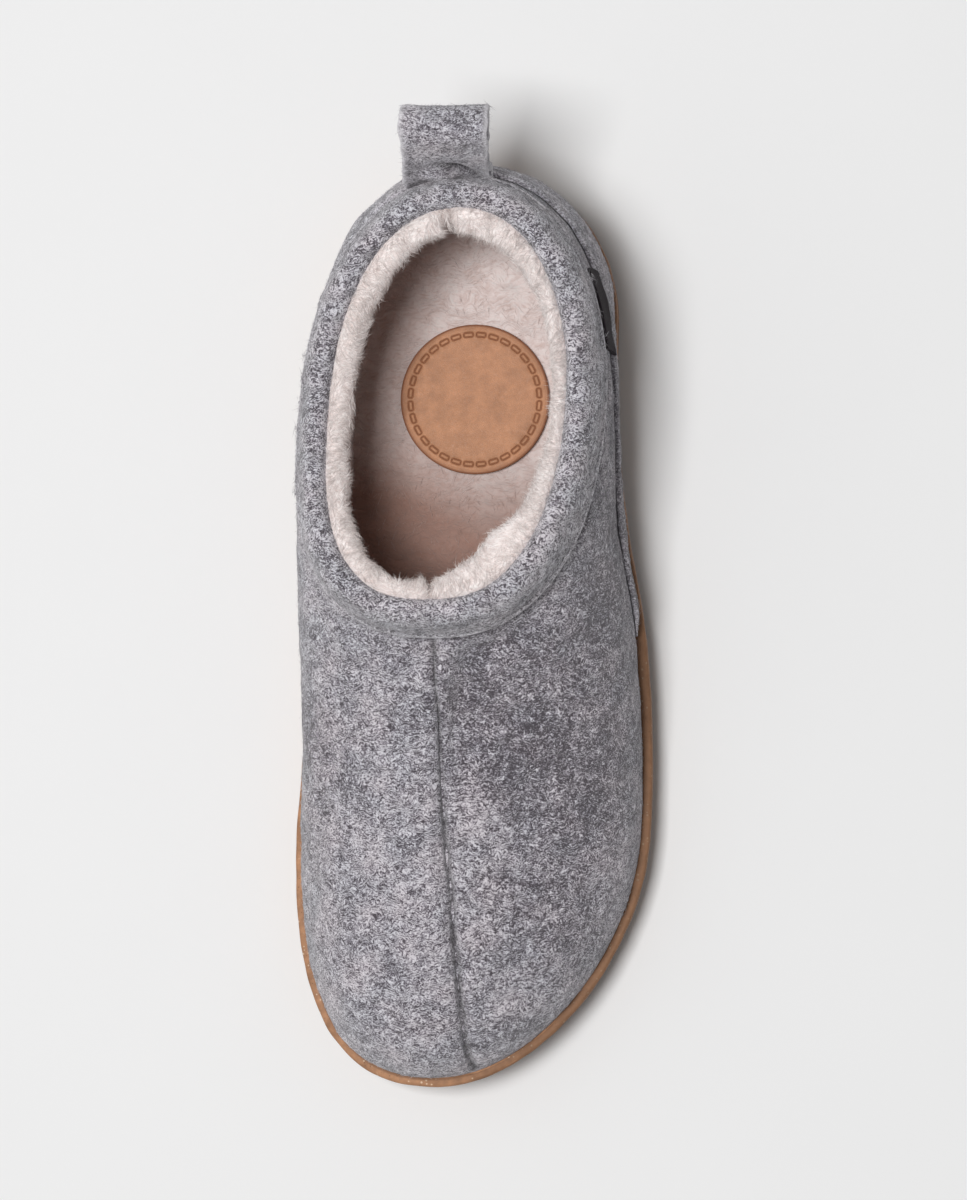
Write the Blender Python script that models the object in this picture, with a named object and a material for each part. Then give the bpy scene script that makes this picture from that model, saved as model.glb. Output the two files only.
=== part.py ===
"""Felt slipper for the left foot, standing empty on its sole.

Metres, +Z up, toe towards -Y, heel towards +Y, the outer side of the foot at +X.
The floor is z = 0 and the origin is the middle of the flat under the heel.
The upper is one hollow felt shell, lofted between the outline of the foot on the sole
and the ring of the collar. Every piece that lies on it uses the same function.
"""
import math

import bmesh
import bpy
import numpy as np
from mathutils import Vector

# Sole, seen from below
SHOE_LENGTH = 0.268
BALL_WIDTH = 0.1046
HEEL_ROUND = 0.046
TOE_ROUND = 0.078
HEEL_ROUND_POWER = 2.15
TOE_ROUND_POWER = 2.16

# Sole, seen from the side
HEEL_SOLE_HEIGHT = 0.022
WAIST_SOLE_HEIGHT = 0.0195
BALL_SOLE_HEIGHT = 0.016
TOE_SPRING = 0.009
HEEL_BEVEL = 0.0025
ARCH_RISE = 0.0035
HEEL_FLAT_START = 0.013
HEEL_FLAT_END = 0.080
FOREFOOT_FLAT_START = 0.148
FOREFOOT_FLAT_END = 0.204
SOLE_UNDERCUT = 0.0032
SOLE_EDGE_ROUND = 0.0022
RIM_ROUND = 0.0011
SIDE_GROOVE_DEPTH = 0.0009
SIDE_GROOVE_WIDTH = 0.0016
SIDE_GROOVE_BELOW_RIM = 0.0042

# Tread under the sole
TREAD_DEPTH = 0.0014
TREAD_GROOVE = 0.0030
TREAD_PITCH = 0.0105
TREAD_BORDER = 0.0085

# Felt upper
FELT = 0.0030
HEEL_RIM = 0.0038
TOE_RIM = 0.0027
SEAM_GROOVE_DEPTH = 0.0012
SEAM_GROOVE_HALF = 0.0026
SEAM_GROOVE_FADE = 0.45
SEAM_TOE_X = 0.0024

# Opening and its padded collar
COLLAR_LENGTH = 0.1172
COLLAR_WIDTH = 0.0742
COLLAR_BACK = 0.0110
COLLAR_BACK_X = 0.0046
COLLAR_FRONT_X = -0.0045
COLLAR_BACK_POWER = 2.1
COLLAR_FRONT_POWER = 2.5
COLLAR_BACK_TOP = 0.092
COLLAR_FRONT_TOP = 0.096
COLLAR_SIDE_TOP = 0.083
COLLAR_HEIGHT = 0.0190
COLLAR_THICKNESS = 0.0082
COLLAR_PROUD = 0.0007
COLLAR_BACK_FLARE = 0.0020
COLLAR_FRONT_FLARE = 0.0034

# Heel counter over the felt
COUNTER = 0.0020
COUNTER_FRONT = 0.137
COUNTER_HEEL_RISE = 0.80
COUNTER_FRONT_RISE = 0.10

# Pull loop at the heel
LOOP_WIDTH = 0.0245
LOOP_TAPE = 0.0023
LOOP_REACH = 0.0320
LOOP_GAP = 0.0078
LOOP_TAB = 0.0062
LOOP_JOIN = 0.0003
LOOP_LEAN = math.radians(63)
LOOP_BEND_START = -0.0020
LOOP_BEND_END = 0.0060
LOOP_X = 0.0014

# Insole, its disc and the side tab
INSOLE = 0.0050
INSOLE_EDGE_ROUND = 0.0012
INSOLE_SIDE_FIT = 0.0009
DISC_RADIUS = 0.0218
DISC_THICKNESS = 0.0016
DISC_FROM_HEEL = 0.067
DISC_X = 0.0025
TAB_LENGTH = 0.0225
TAB_HEIGHT = 0.0090
TAB_THICKNESS = 0.0012
TAB_FROM_HEEL = 0.0425
TAB_LEAN = math.radians(5)
TAB_TOP_RISE = 0.985

# Fit and fineness
FIT = 0.0003
AROUND_HALF = 36
UP = 16
RUNG_PARTS = 4
OUTLINE_POINTS = 720

# Outline of the sole: share of the length, middle and half width as shares of the ball width
OUTLINE_COLUMNS = ("along", "middle", "half")
OUTLINE = (
    (0.00, 0.019, 0.398),
    (0.12, 0.016, 0.402),
    (0.26, 0.004, 0.410),
    (0.38, 0.012, 0.428),
    (0.50, 0.028, 0.462),
    (0.60, 0.020, 0.488),
    (0.70, 0.008, 0.499),
    (0.78, -0.008, 0.500),
    (0.88, -0.048, 0.496),
    (0.95, -0.084, 0.492),
    (1.00, -0.104, 0.490),
)

# Upper, one row for each section from the heel to the seam at the toe. The shares run along
# the outline and along the collar, the leans are degrees outwards from upright on the outer
# and inner side of the foot, the pulls are shares of the straight reach, and the slope is
# degrees below level where the felt leaves the collar.
SECTION_COLUMNS = ("outline", "collar", "lean_outer", "lean_inner",
                   "foot_pull", "collar_pull", "slope")
SECTIONS = (
    (0.00, 0.000, 11.0, 11.0, 0.42, 0.38, 78.0),
    (0.14, 0.170, 13.0, 12.0, 0.40, 0.36, 82.0),
    (0.28, 0.385, 14.0, 12.0, 0.38, 0.34, 83.0),
    (0.42, 0.620, 11.0, 8.0, 0.38, 0.34, 72.0),
    (0.56, 0.800, 6.0, 4.0, 0.38, 0.34, 56.0),
    (0.70, 0.905, 2.0, 1.0, 0.35, 0.36, 44.0),
    (0.85, 0.963, -1.0, -2.0, 0.30, 0.40, 35.0),
    (1.00, 1.000, -3.0, -3.0, 0.25, 0.42, 28.0),
)

HEEL_END_Y = (HEEL_FLAT_START + HEEL_FLAT_END) / 2


def curve_through(table, columns, across, down, share):
    """Reads one column of a table as a smooth curve that is level at both ends."""
    rows = np.array(table)
    x = rows[:, columns.index(across)]
    y = rows[:, columns.index(down)]
    slope = np.zeros(len(x))
    slope[1:-1] = (y[2:] - y[:-2]) / (x[2:] - x[:-2])
    share = np.clip(share, x[0], x[-1])
    cell = np.clip(np.searchsorted(x, share, side="right") - 1, 0, len(x) - 2)
    width = x[cell + 1] - x[cell]
    t = (share - x[cell]) / width
    return ((2 * t ** 3 - 3 * t ** 2 + 1) * y[cell]
            + (t ** 3 - 2 * t ** 2 + t) * width * slope[cell]
            + (3 * t ** 2 - 2 * t ** 3) * y[cell + 1]
            + (t ** 3 - t ** 2) * width * slope[cell + 1])


def ease(value):
    """Goes smoothly from 0 to 1."""
    value = np.clip(value, 0.0, 1.0)
    return value * value * (3 - 2 * value)


def round_end(depth, power):
    """Half width of a rounded end, as a share, at a depth of 0 (its tip) to 1."""
    inside = np.clip(1 - depth, 0.0, 1.0)
    return (1 - inside ** power) ** (1 / power)


def sole_side(side, along):
    """Edge of the sole in plan: side is +1 for the outer side and -1 for the inner."""
    share = along / SHOE_LENGTH
    middle = BALL_WIDTH * curve_through(OUTLINE, OUTLINE_COLUMNS, "along", "middle", share)
    half = BALL_WIDTH * curve_through(OUTLINE, OUTLINE_COLUMNS, "along", "half", share)
    half = half * round_end(along / HEEL_ROUND, HEEL_ROUND_POWER)
    half = half * round_end((SHOE_LENGTH - along) / TOE_ROUND, TOE_ROUND_POWER)
    return np.stack([middle + side * half, HEEL_END_Y - along], axis=-1)


def sole_outline():
    """The whole edge of the sole in plan, from the heel along the outer side and back."""
    turn = np.linspace(0, math.pi, OUTLINE_POINTS // 2 + 1)
    along = SHOE_LENGTH * (1 - np.cos(turn)) / 2
    outer = sole_side(1, along)
    inner = sole_side(-1, along)
    return np.concatenate([outer, inner[-2:0:-1]])


def outward(loop):
    """Unit directions that point out of a closed plan curve, from its neighbours."""
    run = np.roll(loop, -1, axis=0) - np.roll(loop, 1, axis=0)
    run = run / np.linalg.norm(run, axis=1, keepdims=True)
    return np.stack([-run[:, 1], run[:, 0]], axis=-1)


def grown(loop, distance):
    """A closed plan curve moved out by a distance, which may differ from point to point."""
    distance = np.broadcast_to(distance, len(loop))
    return loop + outward(loop) * distance[:, None]


class Ring:
    """A closed plan curve read by its way round: 0 is the heel, 0.5 the seam, 1 the heel."""

    def __init__(self, loop, seam_x):
        start = np.argmin(np.where(loop[:, 1] > loop[:, 1].mean(), abs(loop[:, 0]), 9.0))
        loop = np.roll(loop, -start, axis=0)
        front = np.where(loop[:, 1] < loop[:, 1].mean(), abs(loop[:, 0] - seam_x), 9.0)
        seam = int(np.argmin(front))
        closed = np.concatenate([loop, loop[:1]])
        steps = np.linalg.norm(np.diff(closed, axis=0), axis=1)
        length = np.concatenate([[0.0], np.cumsum(steps)])
        self.outer_length = length[seam]
        first = 0.5 * length / length[seam]
        second = 0.5 + 0.5 * (length - length[seam]) / (length[-1] - length[seam])
        self.way = np.where(length <= length[seam], first, second)
        self.points = closed
        self.normals = np.concatenate([outward(loop), outward(loop)[:1]])

    def at(self, way):
        """Point and outward direction at a way round."""
        way = np.mod(way, 1.0)
        point = [np.interp(way, self.way, self.points[:, k]) for k in (0, 1)]
        normal = np.stack([np.interp(way, self.way, self.normals[:, k]) for k in (0, 1)], -1)
        normal = normal / np.linalg.norm(normal, axis=-1, keepdims=True)
        return np.stack(point, axis=-1), normal


def sole_top(along):
    """Height of the sole's upper face: heel, waist, ball and the spring of the toe."""
    share = np.asarray(along) / SHOE_LENGTH
    height = HEEL_SOLE_HEIGHT + (WAIST_SOLE_HEIGHT - HEEL_SOLE_HEIGHT) * ease((share - 0.22) / 0.25)
    height = height + (BALL_SOLE_HEIGHT - WAIST_SOLE_HEIGHT) * ease((share - 0.40) / 0.28)
    return height + toe_lift(along)


def toe_lift(along):
    """Spring of the toe past the forefoot flat, as part of a parabola."""
    past = np.clip(along - FOREFOOT_FLAT_END, 0.0, None)
    return TOE_SPRING * (past / (SHOE_LENGTH - FOREFOOT_FLAT_END)) ** 2


def sole_bottom(along):
    """Height of the sole's lower face: bevelled heel, flat, arch, flat and toe spring."""
    along = np.asarray(along)
    bevel = HEEL_BEVEL * np.clip(1 - along / HEEL_FLAT_START, 0.0, None) ** 2
    arch = np.clip((along - HEEL_FLAT_END) / (FOREFOOT_FLAT_START - HEEL_FLAT_END), 0.0, 1.0)
    return bevel + ARCH_RISE * np.sin(math.pi * arch) ** 2 + toe_lift(along)


def along_of(y):
    """Distance from the heel end."""
    return np.clip(HEEL_END_Y - y, 0.0, SHOE_LENGTH)


def rim_width(along):
    """Step of bare sole outside the felt, wider at the heel where the counter stands on it."""
    share = ease((along / SHOE_LENGTH - 0.30) / 0.45)
    return HEEL_RIM + (TOE_RIM - HEEL_RIM) * share


def collar_plan(offset):
    """Middle line of the collar in plan: a rounded oval that leans to the inner side in front."""
    half = COLLAR_LENGTH / 2
    turn = np.linspace(0, 2 * math.pi, OUTLINE_POINTS, endpoint=False)
    power = np.where(np.cos(turn) > 0, COLLAR_BACK_POWER, COLLAR_FRONT_POWER)
    ahead = np.sign(np.cos(turn)) * abs(np.cos(turn)) ** (2 / power)
    aside = np.sign(np.sin(turn)) * abs(np.sin(turn)) ** (2 / power)
    share = (1 - ahead) / 2
    middle = COLLAR_BACK_X + (COLLAR_FRONT_X - COLLAR_BACK_X) * share
    x = middle + aside * COLLAR_WIDTH / 2
    y = HEEL_END_Y - COLLAR_BACK - half * (1 - ahead)
    return grown(np.stack([x, y], axis=-1), offset)


def collar_share(y):
    """0 at the back of the collar and 1 at its front."""
    return np.clip((HEEL_END_Y - COLLAR_BACK - y) / COLLAR_LENGTH, 0.0, 1.0)


def collar_top(share):
    """Height of the collar's upper edge: highest in front and at the heel, lower at the sides."""
    ends = COLLAR_BACK_TOP + (COLLAR_FRONT_TOP - COLLAR_BACK_TOP) * ease(share)
    dip = np.sin(math.pi * share) ** 2
    return ends + (COLLAR_SIDE_TOP - ends) * dip


def collar_flare(share):
    """How far the foot of the collar stands outside its top."""
    return COLLAR_BACK_FLARE + (COLLAR_FRONT_FLARE - COLLAR_BACK_FLARE) * share


OUTLINE_LOOP = sole_outline()
FOOT_LOOP = grown(OUTLINE_LOOP, -rim_width(along_of(OUTLINE_LOOP[:, 1])))
FOOT_RING = Ring(FOOT_LOOP, SEAM_TOE_X)
SOLE_RING = Ring(OUTLINE_LOOP, SEAM_TOE_X)
COLLAR_LOOP = collar_plan(0.0)
COLLAR_RING = Ring(COLLAR_LOOP, COLLAR_FRONT_X)


def collar_way(way):
    """Way round the collar that the upper's section at a way round the sole goes to."""
    folded = np.where(way <= 0.5, 2 * way, 2 - 2 * way)
    share = curve_through(SECTIONS, SECTION_COLUMNS, "outline", "collar", folded)
    return np.where(way <= 0.5, share / 2, 1 - share / 2)


def section_values(way, column):
    """A column of the section table at a way round."""
    folded = np.where(way <= 0.5, 2 * way, 2 - 2 * way)
    return curve_through(SECTIONS, SECTION_COLUMNS, "outline", column, folded)


def collar_frame(way):
    """Foot and top of the collar's middle line and its outward direction, at a way round it."""
    plan, normal = COLLAR_RING.at(way)
    share = collar_share(plan[..., 1])
    foot_plan = plan + normal * collar_flare(share)[..., None]
    top_z = collar_top(share) - COLLAR_THICKNESS / 2
    foot_z = collar_top(share) - COLLAR_HEIGHT
    top = np.concatenate([plan, top_z[..., None]], axis=-1)
    foot = np.concatenate([foot_plan, foot_z[..., None]], axis=-1)
    out = np.concatenate([normal, np.zeros_like(normal[..., :1])], axis=-1)
    return foot, top, out


def upper_base(way, rise):
    """Outer face of the felt as cubic curves from the sole to the collar, without offset."""
    way, rise = np.broadcast_arrays(np.mod(way, 1.0), rise)
    plan, normal = FOOT_RING.at(way)
    start_z = sole_top(along_of(plan[..., 1])) + FIT
    start = np.concatenate([plan, start_z[..., None]], axis=-1)
    foot, _, out = collar_frame(collar_way(way))
    end = foot + out * (COLLAR_THICKNESS / 2 - COLLAR_PROUD)
    reach = np.linalg.norm(end - start, axis=-1)
    outer = section_values(way, "lean_outer")
    inner = section_values(way, "lean_inner")
    blend = (1 + np.sin(2 * math.pi * way)) / 2
    lean = np.radians(inner + (outer - inner) * blend)
    slope = np.radians(section_values(way, "slope"))
    up = np.array([0.0, 0.0, 1.0])
    away = np.concatenate([normal, np.zeros_like(normal[..., :1])], axis=-1)
    first = away * np.sin(lean)[..., None] + up * np.cos(lean)[..., None]
    second = out * np.cos(slope)[..., None] - up * np.sin(slope)[..., None]
    near = start + first * (reach * section_values(way, "foot_pull"))[..., None]
    far = end + second * (reach * section_values(way, "collar_pull"))[..., None]
    t = rise[..., None]
    return ((1 - t) ** 3 * start + 3 * (1 - t) ** 2 * t * near
            + 3 * (1 - t) * t ** 2 * far + t ** 3 * end)


def upper_surface(way, rise, offset=0.0):
    """The felt's outer face moved out by an offset, at a way round and a share of the rise."""
    way, rise = np.broadcast_arrays(way, rise)
    step = 0.002
    ahead = upper_base(way + step, rise) - upper_base(way - step, rise)
    low = np.clip(rise - step, 0.0, 1.0)
    high = np.clip(rise + step, 0.0, 1.0)
    upward = upper_base(way, high) - upper_base(way, low)
    normal = np.cross(upward, ahead)
    normal = normal / np.linalg.norm(normal, axis=-1, keepdims=True)
    offset = np.broadcast_to(offset, way.shape)
    return upper_base(way, rise) + normal * offset[..., None]


def ways_round():
    """Ways round the sole: even steps, with the seam's groove between two of them."""
    groove = 0.5 * SEAM_GROOVE_HALF / FOOT_RING.outer_length
    half = np.linspace(0.0, 0.5 - groove, AROUND_HALF)
    return np.concatenate([half, [0.5], 1 - half[:0:-1]])


def make_material(name, colour, roughness):
    """Plain surface of one colour."""
    material = bpy.data.materials.new(name)
    material.use_nodes = True
    shader = material.node_tree.nodes["Principled BSDF"]
    shader.inputs["Base Color"].default_value = (*colour, 1.0)
    shader.inputs["Roughness"].default_value = roughness
    shader.inputs["Metallic"].default_value = 0.0
    material.diffuse_color = (*colour, 1.0)
    return material


def make_object(name, points, faces, material, sharp=math.radians(35)):
    """One closed body from points and faces, its faces turned outwards."""
    mesh = bpy.data.meshes.new(name)
    mesh.from_pydata([tuple(p) for p in np.reshape(points, (-1, 3))], [], faces)
    body = bmesh.new()
    body.from_mesh(mesh)
    bmesh.ops.recalc_face_normals(body, faces=body.faces)
    body.to_mesh(mesh)
    body.free()
    mesh.materials.append(material)
    mesh.shade_smooth()
    mesh.set_sharp_from_angle(angle=sharp)
    item = bpy.data.objects.new(name, mesh)
    bpy.context.scene.collection.objects.link(item)
    return item


def strip_faces(lower, upper, closed):
    """Quads between two rows of point numbers."""
    count = len(lower)
    last = count if closed else count - 1
    return [(lower[k], lower[(k + 1) % count], upper[(k + 1) % count], upper[k])
            for k in range(last)]


def closed_across(points, ring, height):
    """Closes a ring of points by straight rungs from its outer half to its inner half.

    Each rung gets points between its ends, at the height that the face has there. Returns
    the points with the new ones added, and the faces.
    """
    count = len(ring)
    shares = np.linspace(0.0, 1.0, RUNG_PARTS + 1)
    added = []
    rungs = []
    for near in range(1, count // 2):
        far = count - near
        start = points[ring[near]]
        end = points[ring[far]]
        inner = start + (end - start) * shares[1:-1, None]
        inner[:, 2] = height(inner[:, 1])
        first = len(points) + len(added)
        rungs.append([ring[near], *range(first, first + len(inner)), ring[far]])
        added += list(inner)
    faces = [(ring[0], a, b) for a, b in zip(rungs[0][:-1], rungs[0][1:])]
    for near, far in zip(rungs[:-1], rungs[1:]):
        faces += strip_faces(near, far, False)
    tip = ring[count // 2]
    faces += [(tip, b, a) for a, b in zip(rungs[-1][:-1], rungs[-1][1:])]
    return np.concatenate([points, added]), faces


def ring_solid(name, rows, low_height, high_height, material):
    """A body from rows of points that go round it, closed below and above by rungs."""
    count = len(rows[0])
    points = np.concatenate(rows)
    number = np.arange(len(points)).reshape(len(rows), count)
    faces = []
    for row in range(len(rows) - 1):
        faces += strip_faces(number[row], number[row + 1], True)
    points, below = closed_across(points, number[0], low_height)
    points, above = closed_across(points, number[-1], high_height)
    faces = [tuple(int(k) for k in face) for face in faces + below + above]
    return make_object(name, points, faces, material)


def shell(name, outer, inner, closed, material):
    """A wall between an outer and an inner grid of points: rows go up, columns go round."""
    rows, columns = outer.shape[:2]
    number = np.arange(2 * rows * columns).reshape(2, rows, columns)
    faces = []
    for wall in number:
        for row in range(rows - 1):
            faces += strip_faces(wall[row], wall[row + 1], closed)
    faces += strip_faces(number[0, 0], number[1, 0], closed)
    faces += strip_faces(number[0, -1], number[1, -1], closed)
    if not closed:
        faces += strip_faces(number[0, :, 0], number[1, :, 0], False)
        faces += strip_faces(number[0, :, -1], number[1, :, -1], False)
    faces = [tuple(int(k) for k in face) for face in faces]
    return make_object(name, np.stack([outer, inner]), faces, material)


def make_sole(material):
    """Moulded sole: rows of the side wall from the tread edge to the rim, then both faces."""
    way = ways_round()
    plan, normal = SOLE_RING.at(way)
    along = along_of(plan[:, 1])
    low = sole_bottom(along)
    high = sole_top(along)
    groove = high - SIDE_GROOVE_BELOW_RIM
    half = SIDE_GROOVE_WIDTH / 2
    rows = (
        (SOLE_UNDERCUT, low),
        (SOLE_UNDERCUT * 0.35, low + SOLE_EDGE_ROUND),
        (SIDE_GROOVE_DEPTH * 0.6, groove - half),
        (SIDE_GROOVE_DEPTH * 1.6, groove),
        (0.0, groove + half),
        (0.0, high - RIM_ROUND),
        (RIM_ROUND, high),
    )
    rows = [np.concatenate([plan - normal * inset, height[:, None]], axis=1)
            for inset, height in rows]
    sole = ring_solid("outsole", rows, lambda y: sole_bottom(along_of(y)),
                      lambda y: sole_top(along_of(y)), material)
    cut_tread(sole)
    return sole


def tread_places():
    """Distances from the heel end of the grooves, in the heel flat and in the forefoot."""
    places = []
    for start, end in ((HEEL_FLAT_START, HEEL_FLAT_END),
                       (FOREFOOT_FLAT_START, SHOE_LENGTH - TREAD_BORDER * 2.2)):
        count = int((end - start - TREAD_PITCH) // TREAD_PITCH)
        first = start + (end - start - count * TREAD_PITCH) / 2
        places += [first + k * TREAD_PITCH for k in range(count + 1)]
    return places


def cut_tread(sole):
    """Cuts grooves straight across the heel and the forefoot, inside a plain border."""
    body = bmesh.new()
    for along in tread_places():
        ends = [sole_side(side, np.array(along)) for side in (-1, 1)]
        left = ends[0][0] + TREAD_BORDER + SOLE_UNDERCUT
        right = ends[1][0] - TREAD_BORDER - SOLE_UNDERCUT
        top = float(sole_bottom(along)) + TREAD_DEPTH
        made = bmesh.ops.create_cube(body, size=1.0)["verts"]
        height = 2 * TREAD_DEPTH + top
        bmesh.ops.scale(body, vec=(right - left, TREAD_GROOVE, height), verts=made)
        centre = ((left + right) / 2, HEEL_END_Y - along, top - height / 2)
        bmesh.ops.translate(body, vec=Vector([float(v) for v in centre]), verts=made)
    mesh = bpy.data.meshes.new("tread_cut")
    body.to_mesh(mesh)
    body.free()
    cutter = bpy.data.objects.new("tread_cut", mesh)
    bpy.context.scene.collection.objects.link(cutter)
    cutter.hide_render = True
    cutter.display_type = 'WIRE'
    cut = sole.modifiers.new("tread", 'BOOLEAN')
    cut.operation = 'DIFFERENCE'
    cut.solver = 'EXACT'
    cut.object = cutter


def make_upper(material):
    """Hollow felt shell, open at the collar and underneath, with the seam down the vamp."""
    way = ways_round()[None, :]
    rise = np.linspace(0.0, 1.0, UP + 1)[:, None]
    sunk = np.zeros((UP + 1, way.shape[1]))
    sunk[:, AROUND_HALF] = SEAM_GROOVE_DEPTH * (1 - SEAM_GROOVE_FADE * rise[:, 0])
    outer = upper_surface(way, rise, -sunk)
    inner = upper_surface(way, rise, -FELT)
    inner[0, :, 2] = sole_top(along_of(inner[0, :, 1])) + FIT
    outer[0, :, 2] = sole_top(along_of(outer[0, :, 1])) + FIT
    return shell("upper", outer, inner, True, material)


def make_counter(material):
    """Heel overlay: the upper's own face, one fit and one thickness out, cut along a curve."""
    way = ways_round()
    count = len(way)
    plan, _ = FOOT_RING.at(way)
    covered = along_of(plan[:, 1]) < COUNTER_FRONT
    order = [k - count for k in range(count) if covered[k] and way[k] > 0.5]
    order += [k for k in range(count) if covered[k] and way[k] <= 0.5]
    way = np.array([way[k % count] - (1 if k < 0 else 0) for k in order])
    plan, _ = FOOT_RING.at(way)
    share = np.clip(along_of(plan[:, 1]) / COUNTER_FRONT, 0.0, 1.0)
    top = COUNTER_HEEL_RISE + (COUNTER_FRONT_RISE - COUNTER_HEEL_RISE) * share ** 1.6
    rise = np.linspace(0.0, 1.0, 8)[:, None] * top[None, :]
    inner = upper_surface(way[None, :], rise, FIT)
    outer = upper_surface(way[None, :], rise, FIT + COUNTER)
    inner[0, :, 2] = sole_top(along_of(inner[0, :, 1])) + FIT
    outer[0, :, 2] = sole_top(along_of(outer[0, :, 1])) + FIT
    return shell("heel_counter", outer, inner, False, material)


def make_collar(material):
    """Padded band: a rounded section carried round the opening, narrower where it is sewn."""
    way = np.linspace(0.0, 1.0, 2 * AROUND_HALF, endpoint=False)
    foot, top, out = collar_frame(way)
    axis = top - foot
    length = np.linalg.norm(axis, axis=-1, keepdims=True)
    axis = axis / length
    side = np.cross(axis, np.cross(out, axis))
    side = side / np.linalg.norm(side, axis=-1, keepdims=True)
    half = COLLAR_THICKNESS / 2
    section = [(-0.80, 0.0), (0.80, 0.0), (1.0, 0.22), (1.04, 0.55), (1.0, 1.0)]
    for step in range(1, 6):
        turn = math.pi * step / 6
        section.append((math.cos(turn), 1.0 + math.sin(turn) * half / (COLLAR_HEIGHT - half)))
    section += [(-1.0, 1.0), (-1.0, 0.55), (-0.95, 0.22)]
    rows = []
    for across, up in section:
        lifted = foot + axis * (FIT + (length - FIT) * up)
        rows.append(lifted + side * (half * across))
    count = len(way)
    number = np.arange(len(section) * count).reshape(len(section), count)
    faces = []
    for row in range(len(section)):
        faces += strip_faces(number[row], number[(row + 1) % len(section)], True)
    faces = [tuple(int(k) for k in face) for face in faces]
    return make_object("collar_band", np.array(rows), faces, material)


def make_insole(material):
    """Soft footbed that fills the bottom of the upper, with a rounded upper edge."""
    way = ways_round()
    plan, normal = FOOT_RING.at(way)
    rows = (
        (FELT + INSOLE_SIDE_FIT, 0.0),
        (FELT + INSOLE_SIDE_FIT, INSOLE - INSOLE_EDGE_ROUND),
        (FELT + INSOLE_SIDE_FIT + INSOLE_EDGE_ROUND, INSOLE),
    )
    points = []
    for inset, lift in rows:
        moved = plan - normal * inset
        height = sole_top(along_of(moved[:, 1])) + FIT + lift
        points.append(np.concatenate([moved, height[:, None]], axis=1))
    return ring_solid("insole", points, lambda y: sole_top(along_of(y)) + FIT,
                      lambda y: sole_top(along_of(y)) + FIT + INSOLE, material)


def make_disc(material):
    """Round leather disc on the insole under the heel."""
    body = bmesh.new()
    bmesh.ops.create_cone(body, cap_ends=True, segments=48, radius1=DISC_RADIUS,
                          radius2=DISC_RADIUS, depth=DISC_THICKNESS)
    mesh = bpy.data.meshes.new("insole_disc")
    body.to_mesh(mesh)
    body.free()
    mesh.materials.append(material)
    mesh.shade_smooth()
    mesh.set_sharp_from_angle(angle=math.radians(35))
    disc = bpy.data.objects.new("insole_disc", mesh)
    height = float(sole_top(DISC_FROM_HEEL - DISC_RADIUS)) + INSOLE + 2 * FIT
    disc.location = (DISC_X, HEEL_END_Y - DISC_FROM_HEEL, height + DISC_THICKNESS / 2)
    bpy.context.scene.collection.objects.link(disc)
    return disc


def loop_contours():
    """Outer and inner contour of the folded tape, before it is bent back.

    The first value runs away from the heel and the second up along the tape. The two legs
    part above the sewn tab, a gap apart, and meet in the round fold.
    """
    leg = LOOP_REACH - LOOP_GAP / 2 - LOOP_TAPE
    height = np.linspace(0.0, leg, 9)
    spread = LOOP_JOIN + (LOOP_GAP / 2 - LOOP_JOIN) * ease(1.2 * height / leg)
    turn = np.linspace(math.pi, 0.0, 9)[1:-1]

    def contour(extra, low):
        away = np.concatenate([-spread - extra, (LOOP_GAP / 2 + extra) * np.cos(turn),
                               (spread + extra)[::-1]])
        rise = leg + (LOOP_GAP / 2 + extra) * np.sin(turn)
        up = np.concatenate([height, rise, height[::-1]])
        up[[0, -1]] = low
        return np.stack([away, up], axis=-1)

    return contour(LOOP_TAPE, -LOOP_TAB), contour(0.0, 0.0)


def bent_back(contour):
    """Bends a contour from the lean of the heel to the lean of the loop, from its foot up."""
    upright = math.pi - math.radians(SECTIONS[0][SECTION_COLUMNS.index("slope")])
    reach = np.linspace(-2 * LOOP_REACH, 2 * LOOP_REACH, 2001)
    share = ease((reach - LOOP_BEND_START) / (LOOP_BEND_END - LOOP_BEND_START))
    angle = upright + (LOOP_LEAN - upright) * share
    step = reach[1] - reach[0]
    away = np.cumsum(np.cos(angle)) * step
    up = np.cumsum(np.sin(angle)) * step
    away = away - np.interp(0.0, reach, away)
    up = up - np.interp(0.0, reach, up)
    here = np.interp(contour[:, 1], reach, angle)
    y = np.interp(contour[:, 1], reach, away) + contour[:, 0] * np.sin(here)
    z = np.interp(contour[:, 1], reach, up) - contour[:, 0] * np.cos(here)
    return np.stack([y, z], axis=-1)


def make_loop(material):
    """Pull loop: a felt tape folded on itself, its ends sewn under the collar at the heel."""
    way = np.linspace(-0.12, 0.12, 97)
    seat = upper_surface(way, np.ones(len(way)), FIT)
    order = np.argsort(seat[:, 0])
    side = np.linspace(-0.5, 0.5, 7) * LOOP_WIDTH
    depth = np.interp(LOOP_X + side, seat[order, 0], seat[order, 1])
    deepest = float(np.max(depth))
    level = float(np.max(seat[:, 2]))
    walls = []
    for contour in loop_contours():
        bent = bent_back(contour)
        curl = 1 - ease(contour[:, 1] / LOOP_REACH)
        x = np.repeat((LOOP_X + side)[:, None], len(contour), axis=1)
        y = deepest + LOOP_TAPE + LOOP_JOIN + bent[None, :, 0]
        y = y + (depth - deepest)[:, None] * curl[None, :]
        z = level + np.repeat(bent[None, :, 1], len(side), axis=0)
        walls.append(np.stack([x, y, z], axis=-1))
    return shell("pull_loop", walls[0], walls[1], True, material)


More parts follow.
